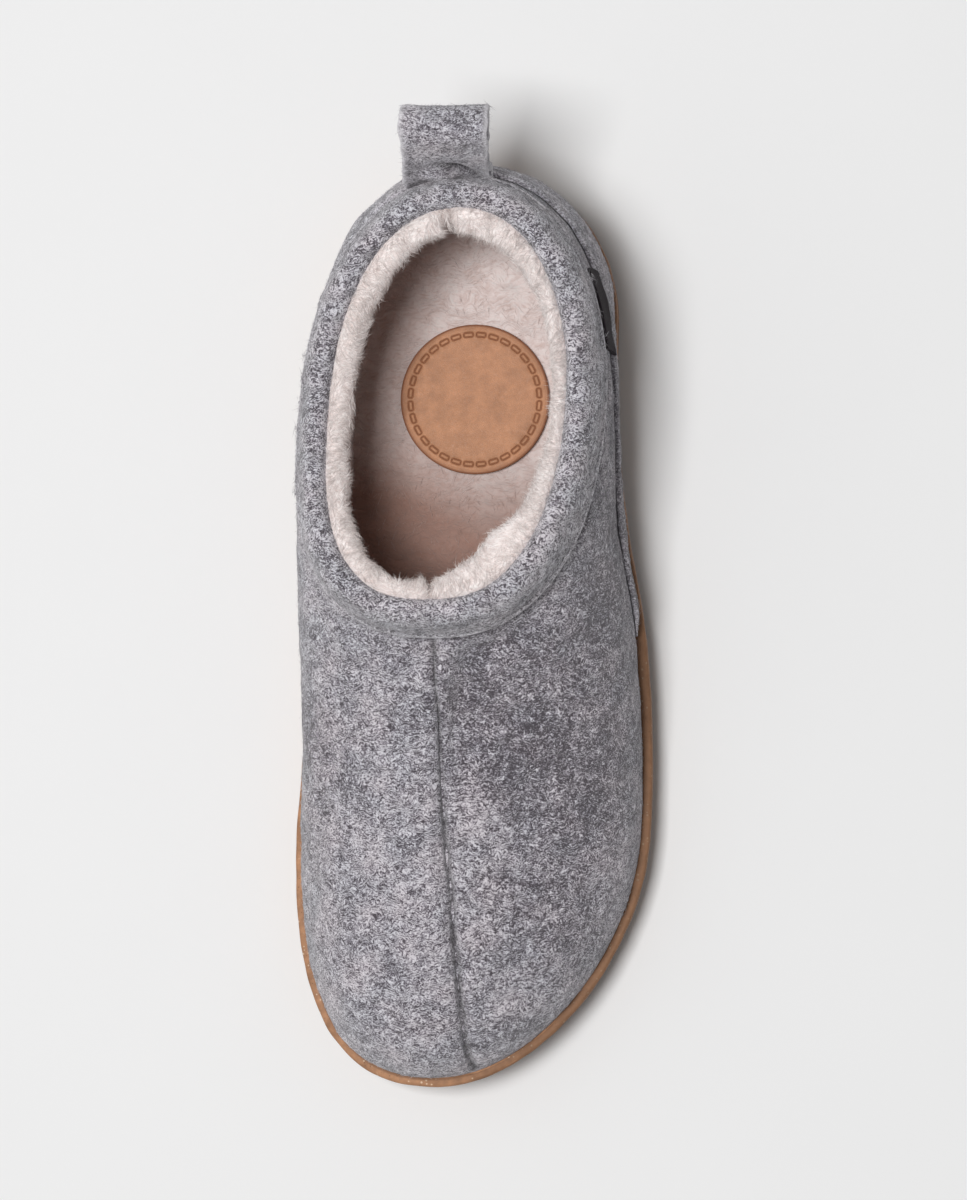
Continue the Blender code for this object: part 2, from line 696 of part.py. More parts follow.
def make_tab(material):
    """Bare folded tab under the collar on the outer side, standing off the felt below."""
    way = np.linspace(0.0, 0.3, 301)
    edge = upper_base(way, np.ones(len(way)))
    ends = [TAB_FROM_HEEL - TAB_LENGTH / 2, TAB_FROM_HEEL + TAB_LENGTH / 2]
    start, end = np.interp(ends, HEEL_END_Y - edge[:, 1], way)
    columns = np.linspace(start, end, 6)[None, :]
    wall = np.linalg.norm(upper_base(columns, 1.0) - upper_base(columns, 0.5), axis=-1) * 2
    share = np.linspace(1.0, 0.0, 4)[:, None]
    rise = TAB_TOP_RISE - share * TAB_HEIGHT / wall
    offset = FIT + share * TAB_HEIGHT * math.sin(TAB_LEAN)
    inner = upper_surface(columns, rise, offset)
    outer = upper_surface(columns, rise, offset + TAB_THICKNESS)
    return shell("side_tab", outer, inner, False, material)


def build():
    """Makes every piece of the slipper."""
    felt = make_material("grey_felt", (0.30, 0.29, 0.31), 0.95)
    rubber = make_material("tan_rubber", (0.50, 0.27, 0.13), 0.70)
    fleece = make_material("cream_fleece", (0.78, 0.68, 0.62), 0.98)
    leather = make_material("tan_leather", (0.58, 0.31, 0.15), 0.50)
    webbing = make_material("dark_webbing", (0.045, 0.035, 0.042), 0.85)
    make_sole(rubber)
    make_insole(fleece)
    make_upper(felt)
    make_counter(felt)
    make_collar(felt)
    make_disc(leather)
    make_loop(felt)
    make_tab(webbing)


for old in list(bpy.data.objects):
    bpy.data.objects.remove(old, do_unlink=True)
build()
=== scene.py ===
"""Looks of a grey felt slipper for the left foot, made round its packed solids.

Metres, +Z up, toe towards -Y, the outer side of the foot at +X. Shapes are arrays of points:
a place on the upper is a way round the sole (0 heel, 0.5 toe seam, 1 heel again) and a rise
(0 at the sole, 1 under the collar). Materials read Object coordinates and point attributes.
"""
import math

import bpy
import numpy as np
from bpy.props import FloatProperty, FloatVectorProperty, IntProperty, PointerProperty
from mathutils import Matrix, Vector


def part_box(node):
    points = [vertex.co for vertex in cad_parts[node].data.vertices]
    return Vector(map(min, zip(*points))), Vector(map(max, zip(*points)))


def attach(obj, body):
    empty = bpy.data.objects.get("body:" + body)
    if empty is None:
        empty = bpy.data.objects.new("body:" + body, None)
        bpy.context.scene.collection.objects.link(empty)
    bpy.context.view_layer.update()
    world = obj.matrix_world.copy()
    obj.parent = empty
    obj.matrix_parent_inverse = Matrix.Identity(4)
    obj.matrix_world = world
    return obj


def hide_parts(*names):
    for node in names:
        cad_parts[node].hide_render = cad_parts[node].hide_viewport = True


bl_info = {
    "name": "Felt Slipper",
    "version": (1, 0, 0),
    "blender": (4, 5, 0),
    "location": "View3D > Sidebar > Slipper",
    "description": "Makes the felt, fleece, leather and rubber of a slipper round its solids",
    "category": "Object",
}

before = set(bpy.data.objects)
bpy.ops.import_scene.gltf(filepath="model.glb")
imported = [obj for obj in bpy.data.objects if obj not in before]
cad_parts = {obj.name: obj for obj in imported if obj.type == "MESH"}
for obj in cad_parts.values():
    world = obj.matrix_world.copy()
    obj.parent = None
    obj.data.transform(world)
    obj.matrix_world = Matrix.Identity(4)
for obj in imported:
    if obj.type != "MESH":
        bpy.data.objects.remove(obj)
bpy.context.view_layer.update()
BODY = "root"
MM = 0.001

# Sole and upper, as in the solids
SOLE_LOW, SOLE_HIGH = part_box("outsole")
HEEL_END_Y = SOLE_HIGH.y
SHOE_LENGTH = SOLE_HIGH.y - SOLE_LOW.y
BALL_WIDTH = 0.1046
HEEL_ROUND = 0.046
TOE_ROUND = 0.078
HEEL_ROUND_POWER = 2.15
TOE_ROUND_POWER = 2.16
HEEL_SOLE_HEIGHT = 0.022
WAIST_SOLE_HEIGHT = 0.0195
BALL_SOLE_HEIGHT = 0.016
WAIST_START = 0.22
WAIST_RUN = 0.25
BALL_START = 0.40
BALL_RUN = 0.28
TOE_SPRING = 0.009
HEEL_BEVEL = 0.0025
ARCH_RISE = 0.0035
HEEL_FLAT_START = 0.013
HEEL_FLAT_END = 0.080
FOREFOOT_FLAT_START = 0.148
FOREFOOT_FLAT_END = 0.204
SOLE_UNDERCUT = 0.0032
SOLE_EDGE_ROUND = 0.0022
RIM_ROUND = 0.0011
SIDE_GROOVE_DEPTH = 0.0009
SIDE_GROOVE_WIDTH = 0.0016
SIDE_GROOVE_BELOW_RIM = 0.0042
TREAD_DEPTH = 0.0014
TREAD_GROOVE = 0.0030
TREAD_PITCH = 0.0105
TREAD_BORDER = 0.0085
FELT = 0.0030
HEEL_RIM = 0.0038
TOE_RIM = 0.0027
RIM_START = 0.30
RIM_RUN = 0.45
SEAM_TOE_X = 0.0024
COLLAR_LENGTH = 0.1172
COLLAR_WIDTH = 0.0742
COLLAR_BACK = 0.0110
COLLAR_BACK_X = 0.0046
COLLAR_FRONT_X = -0.0045
COLLAR_BACK_POWER = 2.1
COLLAR_FRONT_POWER = 2.5
COLLAR_BACK_TOP = 0.092
COLLAR_FRONT_TOP = 0.096
COLLAR_SIDE_TOP = 0.083
COLLAR_HEIGHT = 0.0190
COLLAR_THICKNESS = 0.0082
COLLAR_PROUD = 0.0007
COLLAR_BACK_FLARE = 0.0020
COLLAR_FRONT_FLARE = 0.0034
COUNTER = 0.0020
COUNTER_FRONT = 0.137
COUNTER_HEEL_RISE = 0.80
COUNTER_FRONT_RISE = 0.10
COUNTER_POWER = 1.6
LOOP_WIDTH = 0.0245
LOOP_TAPE = 0.0023
LOOP_REACH = 0.0320
LOOP_GAP = 0.0078
LOOP_TAB = 0.0062
LOOP_JOIN = 0.0003
LOOP_LEAN = math.radians(63)
LOOP_BEND_START = -0.0020
LOOP_BEND_END = 0.0060
LOOP_PART = 1.2
LOOP_X = 0.0014
INSOLE = 0.0050
INSOLE_EDGE_ROUND = 0.0012
INSOLE_SIDE_FIT = 0.0009
DISC_RADIUS = 0.0218
DISC_FROM_HEEL = 0.067
DISC_X = 0.0025
TAB_LENGTH = 0.0225
TAB_HEIGHT = 0.0090
TAB_THICKNESS = 0.0012
TAB_FROM_HEEL = 0.0425
TAB_LEAN = math.radians(5)
TAB_TOP_RISE = 0.985
FIT = 0.0003

# Fineness of the visible surfaces
OUTLINE_POINTS = 1440
UPPER_STEP = 0.0018
SEAM_STEP = 0.00035
SEAM_BAND = 0.008
UPPER_ROWS = 72
COLLAR_COLUMNS = 420
COLLAR_ROWS = 40
LINING_COLUMNS = 340
LINING_ROWS = 52
SOLE_COLUMNS = 600
SOLE_RUNGS = 36
RUNG_BEND = 0.08
FOOTBED_COLUMNS = 420
FOOTBED_RUNGS = 60
HIDDEN_RUNGS = 6
DISC_COLUMNS = 480
COUNTER_COLUMNS = 300
COUNTER_ROWS = 30
LOOP_COLUMNS = 31
LOOP_LEG_ROWS = 34
LOOP_FOLD_ROWS = 26
TAB_COLUMNS = 40
TAB_ROWS = 16
SLOPE_STEP = 0.002
SHARP_ANGLE = math.radians(50)

# Random fields of lumps: sines in each, the spread of their lengths and their level
LUMP_WAVES = 28
LUMP_SPREAD = (0.7, 1.35)
LUMP_LEVEL = 0.75

# Outline of the sole: share of the length, middle and half width as shares of the ball width
OUTLINE_COLUMNS = ("along", "middle", "half")
OUTLINE = (
    (0.00, 0.019, 0.398),
    (0.12, 0.016, 0.402),
    (0.26, 0.004, 0.410),
    (0.38, 0.012, 0.428),
    (0.50, 0.028, 0.462),
    (0.60, 0.020, 0.488),
    (0.70, 0.008, 0.499),
    (0.78, -0.008, 0.500),
    (0.88, -0.048, 0.496),
    (0.95, -0.084, 0.492),
    (1.00, -0.104, 0.490),
)

# Sections of the upper from the heel to the seam at the toe, as in the solids
SECTION_COLUMNS = ("outline", "collar", "lean_outer", "lean_inner",
                   "foot_pull", "collar_pull", "slope")
SECTIONS = (
    (0.00, 0.000, 11.0, 11.0, 0.42, 0.38, 78.0),
    (0.14, 0.170, 13.0, 12.0, 0.40, 0.36, 82.0),
    (0.28, 0.385, 14.0, 12.0, 0.38, 0.34, 83.0),
    (0.42, 0.620, 11.0, 8.0, 0.38, 0.34, 72.0),
    (0.56, 0.800, 6.0, 4.0, 0.38, 0.34, 56.0),
    (0.70, 0.905, 2.0, 1.0, 0.35, 0.36, 44.0),
    (0.85, 0.963, -1.0, -2.0, 0.30, 0.40, 35.0),
    (1.00, 1.000, -3.0, -3.0, 0.25, 0.42, 28.0),
)

# Troughs (depth above 0) and ridges (below 0) pressed into the felt: from a way and a rise to
# a way and a rise, with the depth and the half width in millimetres
CREASE_STATIONS = 25
CREASE_ENDS = 0.35
CREASES = (
    (0.270, 0.93, 0.440, 0.93, 2.2, 4.5),
    (0.400, 0.93, 0.480, 0.70, 3.9, 5.5),
    (0.455, 0.95, 0.498, 0.86, -1.2, 3.5),
    (0.385, 0.60, 0.455, 0.52, 0.5, 8.0),
    (0.562, 0.94, 0.720, 0.93, 0.9, 4.5),
    (0.512, 0.86, 0.540, 0.60, -0.7, 7.0),
    (0.525, 0.55, 0.560, 0.22, -0.4, 9.0),
    (0.470, 0.50, 0.450, 0.18, 0.5, 8.0),
    (0.330, 0.18, 0.385, 0.62, 0.6, 7.0),
    (0.625, 0.20, 0.655, 0.66, 0.8, 6.5),
    (0.205, 0.22, 0.235, 0.80, 0.7, 7.0),
    (0.775, 0.20, 0.760, 0.82, 0.8, 7.0),
    (0.110, 0.86, 0.160, 0.90, 0.5, 4.0),
    (0.890, 0.86, 0.840, 0.90, 0.5, 4.0),
)

# Seam down the vamp: the share of the way that it reaches, the pull of its stitches, the
# valley and the ridges beside it, and how it wanders (amount, wavelength and seed)
SEAM_REACH = 0.3
STITCH_PULL = 0.18
VALLEY_DEPTH = 1.60 * MM
VALLEY_HALF = 5.5 * MM
SEAM_RIDGE = 0.75 * MM
SEAM_RIDGE_PLACE = 3.8 * MM
SEAM_RIDGE_HALF = 2.2 * MM
SEAM_WANDER = ((0.28 * MM, 0.022, 11),)
SEAM_MARK = (((0.25, 0.0032, 5),), 0.85)
SEAM_MARK_WIDTH = 1.05

# The felt's soft waves, where they end above the sole and under the collar, and its tuck there
FELT_WAVES = ((0.22 * MM, 0.016, 3), (0.09 * MM, 0.006, 4))
FOOT_EASE = 0.04
TOP_EASE = 0.03
TUCK_HALF = 2.4 * MM

# Painted shade (below 0) over the outer side and painted light (above 0) beside the seam on the
# inner side of the felt, with some darker blotches of the wool itself: way, rise, radius in
# millimetres and tone
SHADE_AND_BLOTCH_PATCHES = (
    (0.384, 0.88, 17, -0.16),
    (0.374, 0.62, 17, -0.16),
    (0.374, 0.38, 18, -0.16),
    (0.437, 0.45, 12, -0.10),
    (0.420, 0.26, 15, -0.14),
    (0.321, 0.34, 18, -0.17),
    (0.285, 0.60, 20, -0.18),
    (0.430, 0.72, 12, -0.12),
    (0.230, 0.55, 20, -0.19),
    (0.170, 0.60, 20, -0.15),
    (0.110, 0.70, 18, -0.08),
    (0.475, 0.16, 9, -0.04),
    (0.575, 0.72, 13, 0.03),
    (0.560, 0.55, 12, 0.04),
    (0.545, 0.36, 13, 0.04),
    (0.520, 0.20, 9, 0.03),
    (0.668, 0.52, 13, -0.11),
    (0.650, 0.30, 12, -0.11),
    (0.700, 0.40, 13, -0.09),
    (0.452, 0.86, 7, -0.10),
    (0.478, 0.90, 5, 0.05),
    (0.640, 0.80, 10, -0.03),
    (0.600, 0.20, 9, -0.04),
)

# Closed section of the collar: across as a share of its half thickness, up as a share of the
# height of its round top's middle, with a small bead where it is sewn to the upper
COLLAR_SECTION = (
    (-0.80, 0.00), (0.00, -0.01), (0.80, 0.00), (1.04, 0.03), (1.13, 0.08), (1.04, 0.14),
    (0.99, 0.21), (1.03, 0.36), (1.07, 0.56), (1.06, 0.78), (0.98, 0.97), (0.78, 1.13),
    (0.44, 1.235), (0.03, 1.27), (-0.40, 1.24), (-0.75, 1.13), (-0.95, 0.97), (-1.00, 0.76),
    (-1.00, 0.52), (-0.97, 0.26),
)

# Fleece over the inner side of the collar: height from the middle of the round top and
# distance inwards past the felt, in millimetres, for its face and for its hidden back
FLEECE_FACE = (
    (-15.0, 4.2), (-12.0, 4.4), (-9.0, 4.8), (-6.0, 5.4), (-3.2, 6.0), (-0.6, 6.1),
    (1.4, 5.2), (2.7, 3.7), (3.4, 2.0), (3.2, 0.5), (2.2, -0.6), (0.6, -1.2),
)
FLEECE_BACK = (
    (-15.0, 0.3), (-12.0, 0.3), (-9.0, 0.3), (-6.0, 0.3), (-3.2, 0.3), (-1.4, 0.3),
    (-0.2, 0.2), (0.4, 0.1), (0.5, 0.0), (0.4, -0.3), (0.2, -0.8), (-0.2, -1.2),
)
# How wide the roll of fleece is round the collar, from the heel along the outer side
ROLL_COLUMNS = ("way", "width")
ROLL = (
    (0.00, 1.05), (0.07, 1.15), (0.16, 0.75), (0.27, 0.55), (0.34, 1.00), (0.41, 1.55),
    (0.46, 1.30), (0.50, 0.85), (0.60, 0.88), (0.75, 0.92), (0.90, 1.05), (1.00, 1.05),
)
LINING_RISES = (0.05, 0.20, 0.36, 0.52, 0.67, 0.80, 0.91)
LINING_DEPTH = 0.0036

# Camera of the photograph: its pixels are those of a frame 967 wide and 1200 high
PHOTO_WIDTH = 967
PHOTO_HEIGHT = 1200
PHOTO_SCALE = 0.46e-3
PHOTO_ORIGIN_X = 606.0
PHOTO_HEEL_Y = 361.0
PHOTO_LEVEL = 0.015
CAMERA_TILT = math.radians(8)
CAMERA_DISTANCE = 1.77
SHOE_MIDDLE_X = 613.0
SHOE_MIDDLE_Y = 634.0
SHOE_ZOOM = 1.56
SENSOR = 36.0
CLIP_START = 0.05
CLIP_END = 30.0

# Floor, and soft lights: the direction they come from, distance, width and power
FLOOR_REACH = 4.0
FLOOR_DUST = 0.003
LIGHT_AIM = (0.0, -0.08, 0.03)
LIGHTS = (
    ("key", (-0.125, 0.03, 1.0), 2.4, 0.66, 46.5),
    ("side", (-1.20, 0.20, 1.10), 1.8, 1.80, 2.5),
)

# Faces of the felt, collar, fleece and loop that hairs grow on, kept as they are made
SURFACES = {}


def curve_through(table, columns, across, down, share):
    """Reads one column of a table as a smooth cubic that is level at both ends."""
    rows = np.array(table)
    x = rows[:, columns.index(across)]
    y = rows[:, columns.index(down)]
    slope = np.zeros(len(x))
    slope[1:-1] = (y[2:] - y[:-2]) / (x[2:] - x[:-2])
    share = np.clip(share, x[0], x[-1])
    cell = np.clip(np.searchsorted(x, share, side="right") - 1, 0, len(x) - 2)
    width = x[cell + 1] - x[cell]
    t = (share - x[cell]) / width
    return ((2 * t ** 3 - 3 * t ** 2 + 1) * y[cell]
            + (t ** 3 - 2 * t ** 2 + t) * width * slope[cell]
            + (3 * t ** 2 - 2 * t ** 3) * y[cell + 1]
            + (t ** 3 - t ** 2) * width * slope[cell + 1])


def ease(value):
    """Goes smoothly from 0 to 1: three times the square less twice the cube."""
    value = np.clip(value, 0.0, 1.0)
    return value * value * (3 - 2 * value)


def bell(distance, half):
    """1 in the middle and near 0 past twice the half width, as a Gaussian."""
    return np.exp(-(distance / half) ** 2)


def unit(vectors):
    """Vectors of length 1."""
    return vectors / np.maximum(np.linalg.norm(vectors, axis=-1, keepdims=True), 1e-12)


def lumps(points, wavelength, seed):
    """Smooth random field from about -1 to 1: the mean of sines along random directions."""
    rng = np.random.default_rng(seed)
    waves = unit(rng.normal(size=(3, LUMP_WAVES)).T).T * 2 * math.pi / wavelength
    waves = waves * rng.uniform(*LUMP_SPREAD, size=LUMP_WAVES)
    phase = rng.uniform(0, 2 * math.pi, size=LUMP_WAVES)
    total = np.sin(points @ waves + phase).sum(axis=-1)
    return total / math.sqrt(LUMP_WAVES / 2) * LUMP_LEVEL


def uneven(points, rows, level=0.0):
    """A level plus fields of lumps, each row giving an amount, a wavelength and a seed."""
    for amount, wavelength, seed in rows:
        level = level + amount * lumps(points, wavelength, seed)
    return level


def smooth_curve(knots, stations, closed=False):
    """Catmull-Rom curve through rows of points, open or closed, read at even stations."""
    knots = np.asarray(knots, float)
    if closed:
        t = np.linspace(0.0, len(knots), stations, endpoint=False)
        cell = t.astype(int)
        a, b, c, d = (knots[(cell + k) % len(knots)] for k in (-1, 0, 1, 2))
    else:
        padded = np.concatenate([2 * knots[:1] - knots[1:2], knots,
                                 2 * knots[-1:] - knots[-2:-1]])
        t = np.linspace(0.0, len(knots) - 1, stations)
        cell = np.minimum(t.astype(int), len(knots) - 2)
        a, b, c, d = (padded[cell + k] for k in range(4))
    t = (t - cell).reshape((-1,) + (1,) * (knots.ndim - 1))
    return 0.5 * (2 * b + (c - a) * t + (2 * a - 5 * b + 4 * c - d) * t ** 2
                  + (3 * b - a - 3 * c + d) * t ** 3)


def round_end(depth, power):
    """Half width of a rounded end, as a share, at a depth of 0 (its tip) to 1."""
    inside = np.clip(1 - depth, 0.0, 1.0)
    return (1 - inside ** power) ** (1 / power)


def sole_side(side, along):
    """Edge of the sole in plan: side is +1 for the outer side and -1 for the inner."""
    share = along / SHOE_LENGTH
    middle = BALL_WIDTH * curve_through(OUTLINE, OUTLINE_COLUMNS, "along", "middle", share)
    half = BALL_WIDTH * curve_through(OUTLINE, OUTLINE_COLUMNS, "along", "half", share)
    half = half * round_end(along / HEEL_ROUND, HEEL_ROUND_POWER)
    half = half * round_end((SHOE_LENGTH - along) / TOE_ROUND, TOE_ROUND_POWER)
    return np.stack([middle + side * half, HEEL_END_Y - along], axis=-1)


def sole_outline():
    """The whole edge of the sole in plan, from the heel along the outer side and back."""
    turn = np.linspace(0, math.pi, OUTLINE_POINTS // 2 + 1)
    along = SHOE_LENGTH * (1 - np.cos(turn)) / 2
    outer = sole_side(1, along)
    inner = sole_side(-1, along)
    return np.concatenate([outer, inner[-2:0:-1]])


def outward(loop):
    """Unit directions that point out of a closed plan curve, from its neighbours."""
    run = unit(np.roll(loop, -1, axis=0) - np.roll(loop, 1, axis=0))
    return np.stack([-run[:, 1], run[:, 0]], axis=-1)


def grown(loop, distance):
    """A closed plan curve moved out by a distance, which may differ from point to point."""
    return loop + outward(loop) * np.broadcast_to(distance, len(loop))[:, None]


class Ring:
    """A closed plan curve read by its way round: 0 is the heel, 0.5 the seam, 1 the heel."""

    def __init__(self, loop, seam_x):
        back = loop[:, 1] > loop[:, 1].mean()
        start = int(np.argmin(np.where(back, abs(loop[:, 0]), np.inf)))
        loop = np.roll(loop, -start, axis=0)
        front = loop[:, 1] < loop[:, 1].mean()
        seam = int(np.argmin(np.where(front, abs(loop[:, 0] - seam_x), np.inf)))
        closed = np.concatenate([loop, loop[:1]])
        steps = np.linalg.norm(np.diff(closed, axis=0), axis=1)
        length = np.concatenate([[0.0], np.cumsum(steps)])
        self.outer_length = length[seam]
        first = 0.5 * length / length[seam]
        second = 0.5 + 0.5 * (length - length[seam]) / (length[-1] - length[seam])
        self.way = np.where(length <= length[seam], first, second)
        self.points = closed
        normals = outward(loop)
        self.normals = np.concatenate([normals, normals[:1]])

    def at(self, way):
        """Point and outward direction at a way round."""
        way = np.mod(way, 1.0)
        point = [np.interp(way, self.way, self.points[:, k]) for k in (0, 1)]
        normal = [np.interp(way, self.way, self.normals[:, k]) for k in (0, 1)]
        return np.stack(point, axis=-1), unit(np.stack(normal, axis=-1))


def toe_lift(along):
    """Spring of the toe past the forefoot flat, as part of a parabola."""
    past = np.clip(along - FOREFOOT_FLAT_END, 0.0, None)
    return TOE_SPRING * (past / (SHOE_LENGTH - FOREFOOT_FLAT_END)) ** 2


def sole_top(along):
    """Height of the sole's upper face: heel, waist, ball and the spring of the toe."""
    share = np.asarray(along) / SHOE_LENGTH
    waist = ease((share - WAIST_START) / WAIST_RUN)
    ball = ease((share - BALL_START) / BALL_RUN)
    height = HEEL_SOLE_HEIGHT + (WAIST_SOLE_HEIGHT - HEEL_SOLE_HEIGHT) * waist
    return height + (BALL_SOLE_HEIGHT - WAIST_SOLE_HEIGHT) * ball + toe_lift(along)


def sole_bottom(along):
    """Height of the sole's lower face: bevelled heel, flat, arch, flat and toe spring."""
    along = np.asarray(along)
    bevel = HEEL_BEVEL * np.clip(1 - along / HEEL_FLAT_START, 0.0, None) ** 2
    arch = np.clip((along - HEEL_FLAT_END) / (FOREFOOT_FLAT_START - HEEL_FLAT_END), 0.0, 1.0)
    return bevel + ARCH_RISE * np.sin(math.pi * arch) ** 2 + toe_lift(along)


def along_of(y):
    """Distance from the heel end."""
    return np.clip(HEEL_END_Y - y, 0.0, SHOE_LENGTH)


def rim_width(along):
    """Step of bare sole outside the felt, wider at the heel where the counter stands on it."""
    return HEEL_RIM + (TOE_RIM - HEEL_RIM) * ease((along / SHOE_LENGTH - RIM_START) / RIM_RUN)


def collar_plan():
    """Middle line of the collar in plan: a rounded oval that leans to the inner side in front."""
    half = COLLAR_LENGTH / 2
    turn = np.linspace(0, 2 * math.pi, OUTLINE_POINTS, endpoint=False)
    power = np.where(np.cos(turn) > 0, COLLAR_BACK_POWER, COLLAR_FRONT_POWER)
    ahead = np.sign(np.cos(turn)) * abs(np.cos(turn)) ** (2 / power)
    aside = np.sign(np.sin(turn)) * abs(np.sin(turn)) ** (2 / power)
    middle = COLLAR_BACK_X + (COLLAR_FRONT_X - COLLAR_BACK_X) * (1 - ahead) / 2
    x = middle + aside * COLLAR_WIDTH / 2
    y = HEEL_END_Y - COLLAR_BACK - half * (1 - ahead)
    return np.stack([x, y], axis=-1)


def collar_share(y):
    """0 at the back of the collar and 1 at its front."""
    return np.clip((HEEL_END_Y - COLLAR_BACK - y) / COLLAR_LENGTH, 0.0, 1.0)


def collar_top(share):
    """Height of the collar's upper edge: highest in front and at the heel, lower at the sides."""
    ends = COLLAR_BACK_TOP + (COLLAR_FRONT_TOP - COLLAR_BACK_TOP) * ease(share)
    return ends + (COLLAR_SIDE_TOP - ends) * np.sin(math.pi * share) ** 2


def collar_flare(share):
    """How far the foot of the collar stands outside its top."""
    return COLLAR_BACK_FLARE + (COLLAR_FRONT_FLARE - COLLAR_BACK_FLARE) * share


OUTLINE_LOOP = sole_outline()
SOLE_RING = Ring(OUTLINE_LOOP, SEAM_TOE_X)
FOOT_RING = Ring(grown(OUTLINE_LOOP, -rim_width(along_of(OUTLINE_LOOP[:, 1]))), SEAM_TOE_X)
COLLAR_RING = Ring(collar_plan(), COLLAR_FRONT_X)


def folded(way):
    """Way round both sides as a share from the heel to the toe seam."""
    way = np.mod(way, 1.0)
    return np.where(way <= 0.5, 2 * way, 2 - 2 * way)


def collar_way(way):
    """Way round the collar that the upper's section at a way round the sole goes to."""
    share = curve_through(SECTIONS, SECTION_COLUMNS, "outline", "collar", folded(way))
    return np.where(np.mod(way, 1.0) <= 0.5, share / 2, 1 - share / 2)


def section_values(way, column):
    """A column of the section table at a way round."""
    return curve_through(SECTIONS, SECTION_COLUMNS, "outline", column, folded(way))


def lifted(plan, height):
    """Plan points with their heights."""
    return np.concatenate([plan, np.asarray(height)[..., None]], axis=-1)


def collar_frame(way):
    """Foot and top of the collar's middle line and its outward direction, at a way round it."""
    plan, normal = COLLAR_RING.at(way)
    share = collar_share(plan[..., 1])
    top = lifted(plan, collar_top(share) - COLLAR_THICKNESS / 2)
    foot_plan = plan + normal * collar_flare(share)[..., None]
    foot = lifted(foot_plan, collar_top(share) - COLLAR_HEIGHT)
    return foot, top, lifted(normal, np.zeros_like(share))


def upper_base(way, rise):
    """Outer face of the felt as cubic curves from the sole to the collar, without offset."""
    way, rise = np.broadcast_arrays(np.mod(way, 1.0), rise)
    plan, normal = FOOT_RING.at(way)
    start = lifted(plan, sole_top(along_of(plan[..., 1])) + FIT)
    foot, _, out = collar_frame(collar_way(way))
    end = foot + out * (COLLAR_THICKNESS / 2 - COLLAR_PROUD)
    reach = np.linalg.norm(end - start, axis=-1)
    outer = section_values(way, "lean_outer")
    inner = section_values(way, "lean_inner")
    lean = np.radians(inner + (outer - inner) * (1 + np.sin(2 * math.pi * way)) / 2)
    slope = np.radians(section_values(way, "slope"))
    up = np.array([0.0, 0.0, 1.0])
    away = lifted(normal, np.zeros_like(reach))
    first = away * np.sin(lean)[..., None] + up * np.cos(lean)[..., None]
    second = out * np.cos(slope)[..., None] - up * np.sin(slope)[..., None]
    near = start + first * (reach * section_values(way, "foot_pull"))[..., None]
    far = end + second * (reach * section_values(way, "collar_pull"))[..., None]
    t = rise[..., None]
    return ((1 - t) ** 3 * start + 3 * (1 - t) ** 2 * t * near
            + 3 * (1 - t) * t ** 2 * far + t ** 3 * end)


def upper_surface(way, rise, offset=0.0):
    """The felt's outer face moved out by an offset, at a way round and a share of the rise."""
    way, rise = np.broadcast_arrays(way, rise)
    ahead = upper_base(way + SLOPE_STEP, rise) - upper_base(way - SLOPE_STEP, rise)
    upward = (upper_base(way, np.clip(rise + SLOPE_STEP, 0.0, 1.0))
              - upper_base(way, np.clip(rise - SLOPE_STEP, 0.0, 1.0)))
    normal = unit(np.cross(upward, ahead))
    return upper_base(way, rise) + normal * np.broadcast_to(offset, way.shape)[..., None]


def crease_depth(points):
    """Depth of the listed troughs: a bell across each line, eased out at its ends."""
    depth = np.zeros(points.shape[:-1])
    for from_way, from_rise, to_way, to_rise, deep, half in CREASES:
        t = np.linspace(0.0, 1.0, CREASE_STATIONS)
        line = upper_base(from_way + (to_way - from_way) * t, from_rise + (to_rise - from_rise) * t)
        gap = np.linalg.norm(points[..., None, :] - line, axis=-1)
        nearest = np.argmin(gap, axis=-1)
        ends = CREASE_ENDS + (1 - CREASE_ENDS) * np.sin(math.pi * t[nearest])
        distance = np.min(gap, axis=-1)
        depth = depth + deep * MM * ends * bell(distance, half * MM)
    return depth


def shade_and_blotch_tone(points):
    """Painted light and shade at points, with some blotches of the wool, from the listed patches.
    """
    tone = np.zeros(points.shape[:-1])
    for way, rise, radius, amount in SHADE_AND_BLOTCH_PATCHES:
        centre = upper_base(np.array(way), np.array(rise))
        tone = tone + amount * bell(np.linalg.norm(points - centre, axis=-1), radius * MM)
    return tone


def seam_distance(way, rise, points):
    """Signed distance from the seam down the vamp, which wanders a little to both sides."""
    seam = upper_base(0.5, rise)
    wander = uneven(seam, SEAM_WANDER)
    side = np.where(np.mod(way, 1.0) < 0.5, 1.0, -1.0)
    return side * np.linalg.norm(points - seam, axis=-1) + wander


def felt_relief(way, rise, felt):
    """How far the felt's face moves out of its plain loft, and how deep in a seam it is."""
    way, rise = np.broadcast_arrays(way, rise)
    points = upper_base(way, rise)
    seam = abs(seam_distance(way, rise, points))
    near = bell(folded(way) - 1.0, SEAM_REACH)
    stitch = np.cos(2 * math.pi * points[..., 1] / felt.seam_pitch)
    groove = felt.seam_depth * bell(seam, felt.seam_half) * (1 + STITCH_PULL * stitch)
    valley = (VALLEY_DEPTH * bell(seam, VALLEY_HALF)
              - SEAM_RIDGE * bell(seam - SEAM_RIDGE_PLACE, SEAM_RIDGE_HALF))
    soft = uneven(points, FELT_WAVES)
    move = soft - near * (groove + valley) - felt.crease * crease_depth(points)
    hidden = ease(rise / FOOT_EASE) * ease((1.0 - rise) / TOP_EASE)
    tuck = np.linalg.norm(points - upper_base(way, np.ones_like(points[..., 0])), axis=-1)
    move = move * hidden - felt.tuck * bell(tuck, TUCK_HALF)
    mark = near * bell(seam, felt.seam_half * SEAM_MARK_WIDTH) * uneven(points, *SEAM_MARK)
    return move, mark


def felt_face(way, rise, offset, felt):
    """The felt's visible face with its creases, moved out by an offset, and its seam mark."""
    move, seam = felt_relief(way, rise, felt)
    return upper_surface(way, rise, move + offset), seam


